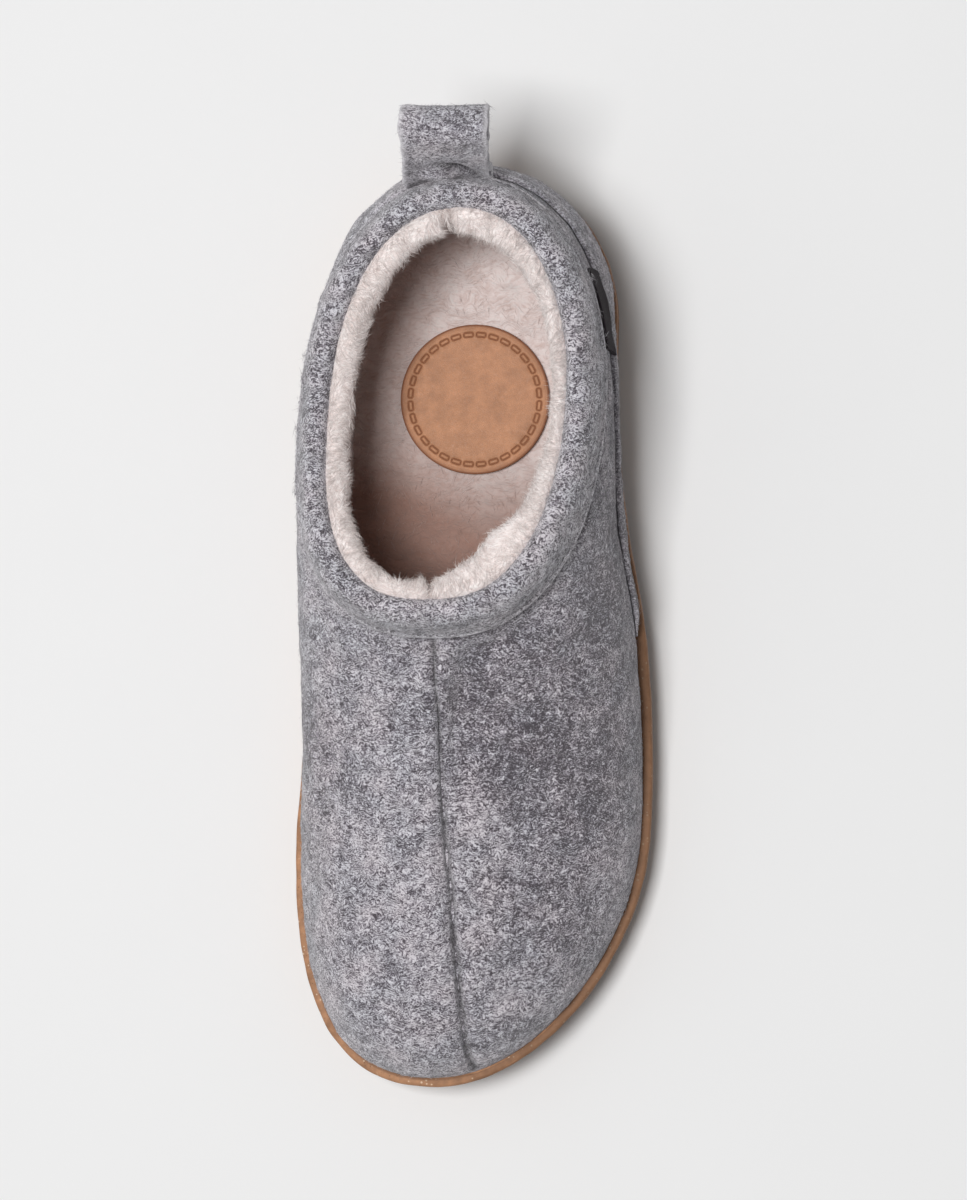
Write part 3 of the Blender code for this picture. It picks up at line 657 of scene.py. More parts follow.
def fill_grid(rows, columns, wrap, first=0):
    """Quads of a grid of points, as rows of four numbers; wrap joins the last column."""
    down, across = np.meshgrid(np.arange(rows - 1), np.arange(columns if wrap else columns - 1),
                               indexing="ij")
    nxt = (across + 1) % columns
    quads = [down * columns + across, down * columns + nxt,
             (down + 1) * columns + nxt, (down + 1) * columns + across]
    return np.stack([q.ravel() for q in quads], axis=-1) + first


def join_rows(a, b, wrap):
    """Quads between two rows of point numbers."""
    if wrap:
        a = np.append(a, a[0])
        b = np.append(b, b[0])
    return np.stack([a[:-1], a[1:], b[1:], b[:-1]], axis=-1)


def signed_volume(points, polygons):
    """Volume inside a closed surface, below 0 where its faces point inwards."""
    total = 0.0
    for faces in polygons:
        a = points[faces[:, 0]]
        for k in range(1, faces.shape[1] - 1):
            total += np.einsum("ij,ij", a, np.cross(points[faces[:, k]], points[faces[:, k + 1]]))
    return total


def make_piece(name, points, polygons, material, replaced=(), attributes=None):
    """A closed mesh from points and arrays of faces, turned outwards, riding on the shoe."""
    points = np.asarray(points, float).reshape(-1, 3)
    polygons = [np.asarray(faces, np.int32) for faces in polygons if len(faces)]
    if signed_volume(points, polygons) < 0:
        polygons = [faces[:, ::-1] for faces in polygons]
    corners = np.concatenate([faces.ravel() for faces in polygons])
    counts = np.concatenate([np.full(len(faces), faces.shape[1]) for faces in polygons])
    mesh = bpy.data.meshes.new(name)
    mesh.vertices.add(len(points))
    mesh.vertices.foreach_set("co", points.astype(np.float32).ravel())
    mesh.loops.add(len(corners))
    mesh.loops.foreach_set("vertex_index", corners.astype(np.int32))
    mesh.polygons.add(len(counts))
    starts = np.concatenate([[0], np.cumsum(counts)[:-1]]).astype(np.int32)
    mesh.polygons.foreach_set("loop_start", starts)
    mesh.update(calc_edges=True)
    mesh.polygons.foreach_set("use_smooth", np.ones(len(counts), bool))
    for key, values in (attributes or {}).items():
        layer = mesh.attributes.new(key, 'FLOAT', 'POINT')
        layer.data.foreach_set("value", np.asarray(values, np.float32).ravel())
    mesh.set_sharp_from_angle(angle=SHARP_ANGLE)
    mesh.materials.append(material)
    piece = bpy.data.objects.new(name, mesh)
    bpy.context.scene.collection.objects.link(piece)
    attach(piece, BODY)
    if replaced:
        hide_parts(*replaced)
    return piece


def shell_polygons(rows, columns, wrap):
    """Faces of a wall between an outer grid and an inner grid that follows it."""
    size = rows * columns
    number = np.arange(2 * size).reshape(2, rows, columns)
    polygons = [fill_grid(rows, columns, wrap), fill_grid(rows, columns, wrap, size)[:, ::-1]]
    polygons.append(join_rows(number[1, 0], number[0, 0], wrap))
    polygons.append(join_rows(number[0, -1], number[1, -1], wrap))
    if not wrap:
        polygons.append(join_rows(number[0, :, 0], number[1, :, 0], False))
        polygons.append(join_rows(number[1, :, -1], number[0, :, -1], False))
    return [np.concatenate(polygons)]


def across_ring(ring_points, ring_numbers, first, rungs, height):
    """Closes a ring by rungs from its outer half to its inner half, at a stated height.

    Rungs join points that mirror each other about the heel and the toe, and run square across
    the shoe between their bent ends. Returns the new points, numbered from first, and the faces.
    """
    count = len(ring_numbers)
    near = np.arange(1, count // 2)
    far = count - near
    share = np.linspace(0.0, 1.0, rungs + 1)[1:-1]
    start = ring_points[near][:, None]
    end = ring_points[far][:, None]
    inner = start + (end - start) * share[None, :, None]
    square = ease(np.minimum(share, 1 - share) / RUNG_BEND)
    middle = (start + end)[..., 1] / 2
    inner[..., 1] += (middle - inner[..., 1]) * square
    inner[..., 2] = height(inner[..., :2])
    numbers = first + np.arange(inner.shape[0] * inner.shape[1]).reshape(inner.shape[:2])
    grid = np.concatenate([ring_numbers[near][:, None], numbers, ring_numbers[far][:, None]], 1)
    quads = np.stack([grid[:-1, :-1], grid[1:, :-1], grid[1:, 1:], grid[:-1, 1:]], -1)
    tips = [np.stack([np.full(rungs, ring_numbers[0]), grid[0, :-1], grid[0, 1:]], -1),
            np.stack([np.full(rungs, ring_numbers[count // 2]), grid[-1, 1:], grid[-1, :-1]], -1)]
    return inner.reshape(-1, 3), quads.reshape(-1, 4), np.concatenate(tips)


def ring_body(rows, rungs, low_height, high_height, low_rungs):
    """Points and faces of a body from rows that go round it, closed below and above."""
    rows = np.array(rows)
    count = rows.shape[1]
    points = rows.reshape(-1, 3)
    sides = fill_grid(rows.shape[0], count, True)
    low, low_quads, low_tips = across_ring(rows[0], np.arange(count), len(points),
                                           low_rungs, low_height)
    points = np.concatenate([points, low])
    top_numbers = np.arange(count) + (rows.shape[0] - 1) * count
    high, high_quads, high_tips = across_ring(rows[-1], top_numbers, len(points),
                                              rungs, high_height)
    points = np.concatenate([points, high])
    quads = np.concatenate([sides, low_quads, high_quads[:, ::-1]])
    return points, [quads, np.concatenate([low_tips, high_tips[:, ::-1]])]


def grid_normals(points, wrap):
    """Unit normals of a grid of points, from the cross product of its two runs."""
    down = np.gradient(points, axis=0)
    if wrap:
        across = np.roll(points, -1, axis=1) - np.roll(points, 1, axis=1)
    else:
        across = np.gradient(points, axis=1)
    return unit(np.cross(down, across)), unit(down)


def scatter(points, wrap, count, rng):
    """Random places on a grid surface, by area: points, normals and directions down it."""
    normals, down = grid_normals(points, wrap)
    if wrap:
        points, normals, down = (np.concatenate([g, g[:, :1]], 1) for g in (points, normals, down))
    area = np.linalg.norm(np.cross(points[1:, :-1] - points[:-1, :-1],
                                   points[:-1, 1:] - points[:-1, :-1]), axis=-1)
    cell = rng.choice(area.size, size=count, p=(area / area.sum()).ravel())
    row, column = np.unravel_index(cell, area.shape)
    u = rng.random((count, 1))
    v = rng.random((count, 1))
    found = []
    for grid in (points, normals, down):
        low = grid[row, column] * (1 - v) + grid[row, column + 1] * v
        high = grid[row + 1, column] * (1 - v) + grid[row + 1, column + 1] * v
        found.append(low * (1 - u) + high * u)
    return found[0], unit(found[1]), unit(found[2])


# How much a hair narrows before its point
HAIR_TAPER = 0.55


def hairs(roots, heading, bend, length, radius, stations):
    """Joined hairs: each runs along its heading and turns to its bend by the square of its run.

    A hair is a three-sided rod that narrows to a point, closed at its root.
    """
    count = len(roots)
    share = np.linspace(0.0, 1.0, stations + 1)[:-1]
    run = share[None, :, None]
    path = roots[:, None] + length[:, None, None] * (heading[:, None] * run
                                                     + bend[:, None] * run ** 2)
    tip = roots + length[:, None] * (heading + bend)
    side = unit(np.cross(heading, bend) + 1e-6)
    other = np.cross(heading, side)
    angle = 2 * math.pi * np.arange(3) / 3
    spoke = side[:, None] * np.cos(angle)[:, None] + other[:, None] * np.sin(angle)[:, None]
    thick = radius[:, None] * (1 - HAIR_TAPER * share[None, :])
    rings = path[:, :, None] + spoke[:, None] * thick[:, :, None, None]
    points = np.concatenate([rings.reshape(count, -1, 3), tip[:, None]], axis=1)
    one = [(2, 1, 0)]
    for k in range(3):
        nxt = (k + 1) % 3
        for row in range(stations - 1):
            low, high = 3 * row, 3 * row + 3
            one += [(low + k, low + nxt, high + nxt), (low + k, high + nxt, high + k)]
        last = 3 * (stations - 1)
        one.append((last + k, last + nxt, 3 * stations))
    size = 3 * stations + 1
    faces = np.array(one)[None] + (np.arange(count) * size)[:, None, None]
    return points.reshape(-1, 3), faces.reshape(-1, 3), size


class Socket:
    """One output of a shader node. Sums and products of it add Math nodes."""

    def __init__(self, shades, link):
        self.shades = shades
        self.link = link

    def math(self, operation, *others, clamp=False):
        """A Math node on this value and others."""
        return self.shades.node('ShaderNodeMath', {"operation": operation, "use_clamp": clamp},
                                {k: v for k, v in enumerate((self, *others))})

    def __add__(self, other):
        return self.math('ADD', other)

    def __sub__(self, other):
        return self.math('SUBTRACT', other)

    def __mul__(self, other):
        return self.math('MULTIPLY', other)

    def __rsub__(self, other):
        return self.shades.node('ShaderNodeMath', {"operation": 'SUBTRACT'}, {0: other, 1: self})

    __radd__ = __add__
    __rmul__ = __mul__

    def clamped(self):
        """Kept from 0 to 1."""
        return self.math('ADD', 0.0, clamp=True)

    def above(self, low, high):
        """Goes smoothly from 0 to 1 between two values."""
        return self.shades.node('ShaderNodeMapRange', {"interpolation_type": 'SMOOTHSTEP'},
                                {"Value": self, "From Min": low, "From Max": high})


class Shades:
    """A material made of nodes, whose sockets are worked on as values."""

    def __init__(self, name, roughness, specular, sheen=0.0, sheen_roughness=0.5):
        self.material = bpy.data.materials.new(name)
        self.material.use_nodes = True
        self.tree = self.material.node_tree
        self.shader = self.tree.nodes["Principled BSDF"]
        self.shader.inputs["Roughness"].default_value = roughness
        self.shader.inputs["Specular IOR Level"].default_value = specular
        self.shader.inputs["Sheen Weight"].default_value = sheen
        self.shader.inputs["Sheen Roughness"].default_value = sheen_roughness

    def node(self, kind, settings, values, output=0):
        """A node of a type, with its settings set first, then its inputs. Gives one output."""
        made = self.tree.nodes.new(kind)
        for key, value in settings.items():
            if key == "stops":
                ramp = made.color_ramp
                while len(ramp.elements) < len(value):
                    ramp.elements.new(1.0)
                for element, (place, colour) in zip(ramp.elements, value):
                    element.position = place
                    element.color = (*colour, 1.0)
            else:
                setattr(made, key, value)
        for key, value in values.items():
            if isinstance(value, Socket):
                self.tree.links.new(value.link, made.inputs[key])
            else:
                made.inputs[key].default_value = value
        return Socket(self, made.outputs[output])

    def place(self):
        """Object coordinates in millimetres."""
        where = self.node('ShaderNodeTexCoord', {}, {}, "Object")
        return self.vector('SCALE', where, scale=1000.0)

    def vector(self, operation, a, b=None, scale=None):
        """A Vector Math node."""
        values = {0: a}
        if b is not None:
            values[1] = b
        if scale is not None:
            values["Scale"] = scale
        return self.node('ShaderNodeVectorMath', {"operation": operation}, values)

    def noise(self, where, scale, detail=2.0, roughness=0.5, output=0):
        """Noise at a scale per millimetre."""
        return self.node('ShaderNodeTexNoise', {},
                         {"Vector": where, "Scale": scale, "Detail": detail,
                          "Roughness": roughness}, output)

    def cells(self, where, scale, feature='F1', output=0):
        """Voronoi cells at a scale per millimetre."""
        return self.node('ShaderNodeTexVoronoi', {"feature": feature},
                         {"Vector": where, "Scale": scale}, output)

    def flecks(self, where, scale, channel, rare, size):
        """Specks in the middle of some cells, picked by one channel of each cell's colour."""
        colour = self.cells(where, scale, output=1)
        pick = self.node('ShaderNodeSeparateColor', {}, {0: colour}, channel)
        return pick.above(rare, rare + 0.04) * (1 - self.cells(where, scale).above(size, 0.30))

    def drifted(self, where, scale, reach):
        """Coordinates moved about by a slow noise, so that streaks wander."""
        drift = self.noise(where, scale, 2.0, output=1)
        drift = self.vector('SUBTRACT', drift, (0.5, 0.5, 0.5))
        return self.vector('ADD', where, self.vector('SCALE', drift, scale=reach))

    def streaks(self, where, turn, stretch, roughness=0.5):
        """Noise on coordinates that are turned and then stretched."""
        where = self.node('ShaderNodeMapping', {"vector_type": 'POINT'},
                          {"Vector": where, "Rotation": turn, "Scale": stretch})
        return self.noise(where, 1.0, 3.0, roughness)

    def attribute(self, name):
        """A point attribute of the piece."""
        return self.node('ShaderNodeAttribute', {"attribute_name": name}, {}, "Fac")

    def ramp(self, value, stops):
        """A colour ramp."""
        return self.node('ShaderNodeValToRGB', {"stops": stops}, {0: value})

    def mix(self, factor, a, b, blend='MIX'):
        """A colour mix."""
        a, b = ((*c, 1.0) if isinstance(c, tuple) else c for c in (a, b))
        return self.node('ShaderNodeMix', {"data_type": 'RGBA', "blend_type": blend},
                         {0: factor, 6: a, 7: b}, 2)

    def bump(self, height, distance, strength):
        """A Bump node; the height is in the distance's own unit."""
        return self.node('ShaderNodeBump', {},
                         {"Height": height, "Distance": distance, "Strength": strength})

    def finish(self, colour=None, roughness=None, normal=None):
        """Joins what varies to the surface shader and gives the material."""
        for name, value in (("Base Color", colour), ("Roughness", roughness), ("Normal", normal)):
            if value is not None:
                self.tree.links.new(value.link, self.shader.inputs[name])
        return self.material


def tinted(colour, factor):
    """A colour made darker or lighter, as plain numbers."""
    return tuple(min(1.0, c * factor) for c in colour)


def felt_material(name, felt, contrast=1.0):
    """Wool felt: crossing streaks of light and dark fibres over soft cloudy patches."""
    shades = Shades(name, 0.95, 0.15, 0.35, 0.55)
    where = shades.place()
    bent = shades.drifted(where, 0.19, 7.0)
    first = shades.streaks(bent, (0.3, 0.2, 0.5), (0.78, 2.4, 1.75), 0.6)
    second = shades.streaks(bent, (0.1, 0.5, 2.0), (0.82, 2.6, 1.85), 0.6)
    grain = shades.noise(where, 2.0, 2.0, 0.6)
    flock = shades.noise(where, 0.42, 2.0, 0.55)
    mottle = shades.noise(where, 0.19, 1.0, 0.5)
    cloud = shades.noise(where, 0.085, 2.0, 0.5)
    fibres = (first - 0.5) * 1.85 + (second - 0.5) * 1.85 + (grain - 0.5) * 1.5
    tufts = (flock - 0.5) * 0.85 + (mottle - 0.5) * 0.30
    tone = 0.5 + (fibres + tufts) * contrast + (cloud - 0.5) * 0.45
    # Painted shade over the outer side and painted light beside the seam, with some wool blotches
    tone = tone + shades.attribute("patch")
    dark, middle, light = (tuple(c) for c in (felt.dark, felt.middle, felt.light))
    colour = shades.ramp(tone, ((0.17, dark), (0.50, middle), (0.83, light)))
    tint = shades.mix((cloud - 0.36) * 3.2, tuple(felt.cool), tuple(felt.warm))
    colour = shades.mix(1.0, colour, tint, 'MULTIPLY')
    seam = shades.attribute("seam")
    edge = shades.attribute("edge")
    # Dark seam and stitch lines, and painted shade in the tuck under the collar, along the collar's
    # foot and channel, and in the loop's fold
    colour = shades.mix((seam * 0.85).clamped(), colour, tinted(dark, 0.40))
    colour = shades.mix((edge * 0.85).clamped(), colour, tinted(light, 1.1))
    height = first + second + grain * 0.6
    return shades.finish(colour, None, shades.bump(height, 0.0004, 0.85))


def hair_material(name, roughness, dark, light):
    """Single hairs, each of its own tone between two colours."""
    shades = Shades(name, roughness, 0.15, 0.2)
    tone = shades.attribute("tone")
    return shades.finish(shades.mix(tone, dark, light))


def fleece_material(name, fleece):
    """Cream fleece: tufts of fine strands, browner where they part, with painted shade deep inside.
    """
    shades = Shades(name, 0.97, 0.1, 0.5, 0.6)
    where = shades.place()
    bent = shades.drifted(where, 0.12, 11.0)
    strands = shades.streaks(bent, (0.2, 0.1, 0.4), (0.35, 1.9, 1.1))
    combed = shades.streaks(bent, (0.4, 0.3, 1.7), (0.35, 1.7, 1.1))
    tufts = shades.noise(where, 0.30, 2.0, 0.55)
    cloud = shades.noise(where, 0.06, 2.0)
    tone = 0.5 + (strands - 0.5) * 0.9 + (combed - 0.5) * 0.9 + (tufts - 0.5) * 0.8
    tone = tone + (cloud - 0.5) * 0.5
    shade, light = tuple(fleece.shade), tuple(fleece.light)
    colour = shades.ramp(tone, ((0.15, shade), (0.55, light), (0.95, tinted(light, 1.12))))
    # Painted shade low inside the shoe, towards the toe and in the lining's partings
    deep = shades.attribute("deep")
    colour = shades.mix((deep * fleece.depth_shade).clamped(), colour, tuple(fleece.deep))
    height = strands + combed + tufts * 0.8
    return shades.finish(colour, None, shades.bump(height, 0.0006, 0.7))


def leather_material(name, trim):
    """Smooth tan leather: fine pores and a burnt, darker press and edge."""
    shades = Shades(name, 0.5, 0.35)
    where = shades.place()
    patches = shades.noise(where, 0.22, 3.0, 0.6)
    fine = shades.noise(where, 2.6, 3.0, 0.65)
    pores = shades.cells(where, 2.1, 'DISTANCE_TO_EDGE')
    leather = tuple(trim.leather)
    colour = shades.ramp(patches, ((0.30, tinted(leather, 0.80)), (0.52, leather),
                                   (0.72, tinted(leather, 1.18))))
    colour = shades.mix(((0.62 - fine) * 1.1).clamped(), colour, tinted(leather, 0.62))
    burnt = shades.attribute("burnt")
    colour = shades.mix((burnt * 1.2).clamped(), colour, tuple(trim.burnt))
    height = pores.above(0.0, 0.22) * 0.5 + fine * 0.5
    rough = 0.50 + (fine - 0.5) * 0.35 + burnt * 0.12
    return shades.finish(colour, rough, shades.bump(height, 0.00012, 0.6))


def sole_material(name, sole):
    """Tan cork and rubber mix: pale and dark flecks in a mottled ground."""
    shades = Shades(name, 0.68, 0.3)
    where = shades.place()
    patches = shades.noise(where, 0.35, 3.0, 0.6)
    ground = tuple(sole.ground)
    colour = shades.ramp(patches, ((0.30, tinted(ground, 0.72)), (0.52, ground),
                                   (0.72, tinted(ground, 1.25))))
    pale = shades.flecks(where, 0.75, 0, 0.70, 0.16)
    dark = shades.flecks(where, 1.1, 1, 0.72, 0.14)
    colour = shades.mix(pale * 0.75, colour, tuple(sole.pale))
    colour = shades.mix(dark * 0.7, colour, tuple(sole.fleck))
    # Darker tread, and painted shade on the outer side and on the rim under the felt
    worn = shades.attribute("worn")
    colour = shades.mix((worn * 0.5).clamped(), colour, tinted(ground, 0.46))
    fine = shades.noise(where, 1.6, 3.0, 0.65)
    rough = 0.66 + (fine - 0.5) * 0.4
    height = fine * 0.8 + pale * 0.3
    return shades.finish(colour, rough, shades.bump(height, 0.00022, 0.7))


def webbing_material(name, trim):
    """Dark woven tape: ribs across and along, from the piece's own run and width."""
    shades = Shades(name, 0.85, 0.12, 0.05)
    run = shades.attribute("run")
    width = shades.attribute("width")
    ribs = (run * (2 * math.pi / 0.62)).math('SINE')
    lines = (width * (2 * math.pi / 0.50)).math('SINE')
    weave = ribs * lines
    fine = shades.noise(shades.place(), 2.4, 3.0)
    webbing = tuple(trim.webbing)
    colour = shades.ramp((weave * 0.25 + fine * 0.5 + 0.25).clamped(),
                         ((0.2, tinted(webbing, 0.55)), (0.8, tinted(webbing, 1.9))))
    return shades.finish(colour, None, shades.bump(weave * 0.5 + fine * 0.3, 0.00015, 0.8))


def colour_value(name, description, *default):
    """A colour that a user can change."""
    return FloatVectorProperty(name=name, description=description, subtype='COLOR',
                               default=default)


def length_value(name, description, millimetres):
    """A length that a user can change."""
    return FloatProperty(name=name, description=description, unit='LENGTH',
                         default=millimetres * MM, min=0.0)


def count_value(name, description, default, least=0):
    """A whole number that a user can change."""
    return IntProperty(name=name, description=description, default=default, min=least)


def share_value(name, description, default, most=1.0):
    """A share that a user can change."""
    return FloatProperty(name=name, description=description, subtype='FACTOR',
                         default=default, min=0.0, max=most)


class SlipperFelt(bpy.types.PropertyGroup):
    """Felt of the upper, the counter, the collar and the pull loop"""

    dark: colour_value("Dark fibres", "Colour of the darkest fibres", 0.077, 0.066, 0.076)
    middle: colour_value("Felt", "Middle colour of the felt", 0.336, 0.311, 0.345)
    light: colour_value("Light fibres", "Colour of the lightest fibres", 0.72, 0.70, 0.73)
    cool: colour_value("Cool patches", "Tint of the cooler patches", 0.955, 0.978, 1.0)
    warm: colour_value("Warm patches", "Tint of the warmer patches", 1.0, 0.965, 0.975)
    crease: share_value("Creases", "Share of the hand-placed creases", 1.0, 2.0)
    seam_depth: length_value("Seam depth", "Depth of the seam down the vamp", 1.3)
    seam_half: length_value("Seam half width", "Half width of that seam", 0.95)
    seam_pitch: length_value("Stitch pitch", "Distance between its stitches", 3.1)
    tuck: length_value("Tuck", "How far the felt dives under the collar", 1.3)
    hair_count: count_value("Hairs", "Loose hairs on all the felt", 44000)
    pills: count_value("Pills", "Small balls of wool on the collar", 110, 1)
    hair_length: length_value("Hair length", "Mean length of a loose hair", 1.9)
    hair_radius: length_value("Hair radius", "Radius of a hair at its root", 0.06)


class SlipperFleece(bpy.types.PropertyGroup):
    """Fleece of the lining and the footbed"""

    light: colour_value("Fleece", "Colour of the fleece in light", 0.965, 0.880, 0.862)
    shade: colour_value("Partings", "Colour between the tufts", 0.76, 0.635, 0.600)
    # Painted shade: the deep colour darkens the fleece low inside the shoe, towards the toe and in
    # the partings
    deep: colour_value("Deep fleece", "Colour deep inside the shoe", 0.285, 0.148, 0.108)
    depth_shade: share_value("Depth tint", "Share of the deep colour", 0.92)
    tuft: length_value("Tuft height", "Height of the tufts of the pile", 0.75)
    hair_count: count_value("Strands", "Loose strands on the lining's roll", 17500)
    inside_count: count_value("Inside strands", "Strands deeper inside", 13500)
    hair_length: length_value("Strand length", "Mean length of a strand", 3.0)
    hair_radius: length_value("Strand radius", "Radius of a strand's root", 0.080)


class SlipperSole(bpy.types.PropertyGroup):
    """Moulded sole"""

    ground: colour_value("Sole", "Ground colour of the sole", 0.41, 0.213, 0.115)
    pale: colour_value("Pale flecks", "Colour of the pale flecks", 0.80, 0.62, 0.45)
    fleck: colour_value("Dark flecks", "Colour of the dark flecks", 0.16, 0.08, 0.045)


class SlipperTrim(bpy.types.PropertyGroup):
    """Leather disc and side tab"""

    leather: colour_value("Leather", "Colour of the disc", 0.52, 0.250, 0.130)
    burnt: colour_value("Burnt press", "Colour of pressed marks", 0.26, 0.105, 0.05)
    marks: count_value("Marks", "Pressed marks round the disc", 32, 3)
    mark_length: length_value("Mark length", "Length of a pressed mark", 2.7)
    mark_width: length_value("Mark width", "Width of a pressed mark", 1.25)
    mark_inset: length_value("Mark inset", "Marks' distance from the edge", 2.9)
    webbing: colour_value("Webbing", "Colour of the side tab", 0.020, 0.015, 0.018)


class SlipperStage(bpy.types.PropertyGroup):
    """Floor, light and camera"""

    floor: colour_value("Floor", "Colour of the floor", 0.835, 0.835, 0.835)
    light: share_value("Light", "Share of the lights' power", 1.0, 4.0)
    sky: share_value("Sky", "Strength of the light from all sides", 0.20)


def upper_ways():
    """Ways round the sole, closer together near the seam down the vamp."""
    half = FOOT_RING.outer_length
    coarse = np.linspace(0.0, 0.5 - SEAM_BAND / (2 * half),
                         int((half - SEAM_BAND) / UPPER_STEP))
    fine = np.linspace(0.5 - SEAM_BAND / (2 * half), 0.5, int(SEAM_BAND / SEAM_STEP))[1:-1]
    side = np.concatenate([coarse, fine])
    return np.concatenate([side, [0.5], 1 - side[:0:-1]])


def seat_on_sole(points):
    """Puts a grid's lowest row on the sole's upper face, a fit above it."""
    points[0, :, 2] = sole_top(along_of(points[0, :, 1])) + FIT
    return points


def from_row(points, row):
    """Distance of a grid's points from the same column's point in one row."""
    return np.linalg.norm(points - points[row], axis=-1)


# Shade painted in the crease where the felt tucks under the collar, and pale cut edge at the
# sole: share and half width
TUCK_SHADE = 0.95
TUCK_SHADE_HALF = 1.8 * MM
FOOT_MARK = 0.45
FOOT_MARK_HALF = 0.9 * MM


class SLIPPER_OT_upper(bpy.types.Operator):
    """Make the felt upper with its seam and creases"""

    bl_idname = "slipper.make_upper"
    bl_label = "Felt upper"

    def execute(self, context):
        felt = context.scene.slipper_felt
        way = upper_ways()[None, :]
        rise = np.linspace(0.0, 1.0, UPPER_ROWS)[:, None]
        outer, seam = felt_face(way, rise, 0.0, felt)
        outer = seat_on_sole(outer)
        inner = seat_on_sole(upper_surface(way, rise, -FELT))
        SURFACES["upper"] = outer
        # Painted shade in the crease where the felt dives under the collar, with the seam's dark
        # line
        tuck_shade = TUCK_SHADE * bell(from_row(outer, -1), TUCK_SHADE_HALF)
        seam = np.maximum(seam, tuck_shade)
        edge = FOOT_MARK * bell(from_row(outer, 0), FOOT_MARK_HALF)
        # Painted shade over the outer side and painted light beside the seam, with some wool
        # blotches
        patch = shade_and_blotch_tone(outer)
        marks = {"seam": np.stack([seam, seam * 0]), "edge": np.stack([edge, edge * 0]),
                 "patch": np.stack([patch, patch])}
        make_piece("felt_upper", np.stack([outer, inner]),
                   shell_polygons(UPPER_ROWS, way.shape[1], True),
                   felt_material("felt", felt), ("upper",), marks)
        return {'FINISHED'}


# Overlay round the heel: its wavy edges, its edge thinned and rounded towards the top and the
# ends, and the marks of its cut rim and its stitches
COUNTER_TRIAL = 900
COUNTER_FRONT_WAVES = ((-0.004, 0.012, 21),)
COUNTER_TOP_WAVES = ((0.006, 0.014, 22),)
COUNTER_LIP = 0.955
COUNTER_LIP_ROWS = (0.975, 0.99, 1.0)
SKIVED = 0.25
SKIVE_START = 0.75
SKIVE_RUN = 0.2
ROUNDED = 0.30
COUNTER_END_THIN = 0.7
COUNTER_END_COLUMNS = 5.0
RIM_MARK = 0.15
RIM_MARK_HALF = 1.0 * MM
STITCH_MARK = 0.5
STITCH_MARK_HALF = 0.5 * MM
STITCH_INSET = 3.2 * MM


class SLIPPER_OT_counter(bpy.types.Operator):
    """Make the felt overlay round the heel, with its cut edge"""

    bl_idname = "slipper.make_counter"
    bl_label = "Heel counter"

    def execute(self, context):
        felt = context.scene.slipper_felt
        way = np.linspace(-0.5, 0.5, COUNTER_TRIAL)
        plan, _ = FOOT_RING.at(way)
        reach = COUNTER_FRONT * uneven(lifted(plan, plan[:, 0] * 0), COUNTER_FRONT_WAVES, 1.0)
        way = way[along_of(plan[:, 1]) < reach]
        way = np.linspace(way[0], way[-1], COUNTER_COLUMNS)
        plan, _ = FOOT_RING.at(way)
        share = np.clip(along_of(plan[:, 1]) / COUNTER_FRONT, 0.0, 1.0)
        top = COUNTER_HEEL_RISE + (COUNTER_FRONT_RISE - COUNTER_HEEL_RISE) * share ** COUNTER_POWER
        top = top * uneven(lifted(plan, plan[:, 0] * 0), COUNTER_TOP_WAVES, 1.0)
        climb = np.concatenate([np.linspace(0.0, COUNTER_LIP, COUNTER_ROWS), COUNTER_LIP_ROWS])
        climb = climb[:, None]
        rise = climb * top[None, :]
        thick = COUNTER * (1 - SKIVED * ease((climb - SKIVE_START) / SKIVE_RUN)
                           - ROUNDED * ease((climb - COUNTER_LIP) / (1 - COUNTER_LIP)) ** 2)
        ends = np.minimum(np.arange(len(way)), np.arange(len(way))[::-1])[None, :]
        thick = thick * (1 - COUNTER_END_THIN * bell(ends, COUNTER_END_COLUMNS))
        outer, _ = felt_face(way[None, :], rise, FIT + thick, felt)
        inner, _ = felt_face(way[None, :], rise, FIT, felt)
        outer, inner = seat_on_sole(outer), seat_on_sole(inner)
        SURFACES["counter"] = outer
        rim = RIM_MARK * bell(from_row(outer, -1), RIM_MARK_HALF)
        stitch = STITCH_MARK * bell(from_row(outer, -1) - STITCH_INSET, STITCH_MARK_HALF)
        # Painted shade over the outer side and painted light beside the seam, with some wool
        # blotches
        patch = shade_and_blotch_tone(outer)
        marks = {"edge": np.stack([rim, rim]), "seam": np.stack([stitch, stitch * 0]),
                 "patch": np.stack([patch, patch])}
        make_piece("felt_counter", np.stack([outer, inner]),
                   shell_polygons(len(climb), len(way), False),
                   felt_material("counter_felt", felt), ("heel_counter",), marks)
        return {'FINISHED'}


def collar_section(way):
    """Foot, upward axis with its length, and outward side of the collar at ways round it."""
    foot, top, out = collar_frame(way)
    length = np.linalg.norm(top - foot, axis=-1, keepdims=True)
    axis = (top - foot) / length
    side = unit(np.cross(axis, np.cross(out, axis)))
    return foot, top, axis, length, side


# Padding of the collar: its waves, how much of them the inner side has, where they start and
# the middle that they leave, the rows that face out, the shade painted along its foot and in a
# channel above its bead, and the mark of its bead (amount, place up the collar and half width,
# as shares of its height)
COLLAR_WAVES = ((0.35 * MM, 0.024, 31), (0.24 * MM, 0.008, 32), (0.12 * MM, 0.0038, 33))
INSIDE_PUFF = 0.3
PUFF_START = 0.35
PUFF_MIDDLE = 0.6
COLLAR_OUTSIDE = slice(2, 32)
COLLAR_SHADE_LINES = ((1.0, 0.01, 0.035), (0.4, 0.175, 0.03))
COLLAR_BEAD = ((0.55, 0.08, 0.03),)
COLLAR_CONTRAST = 1.45


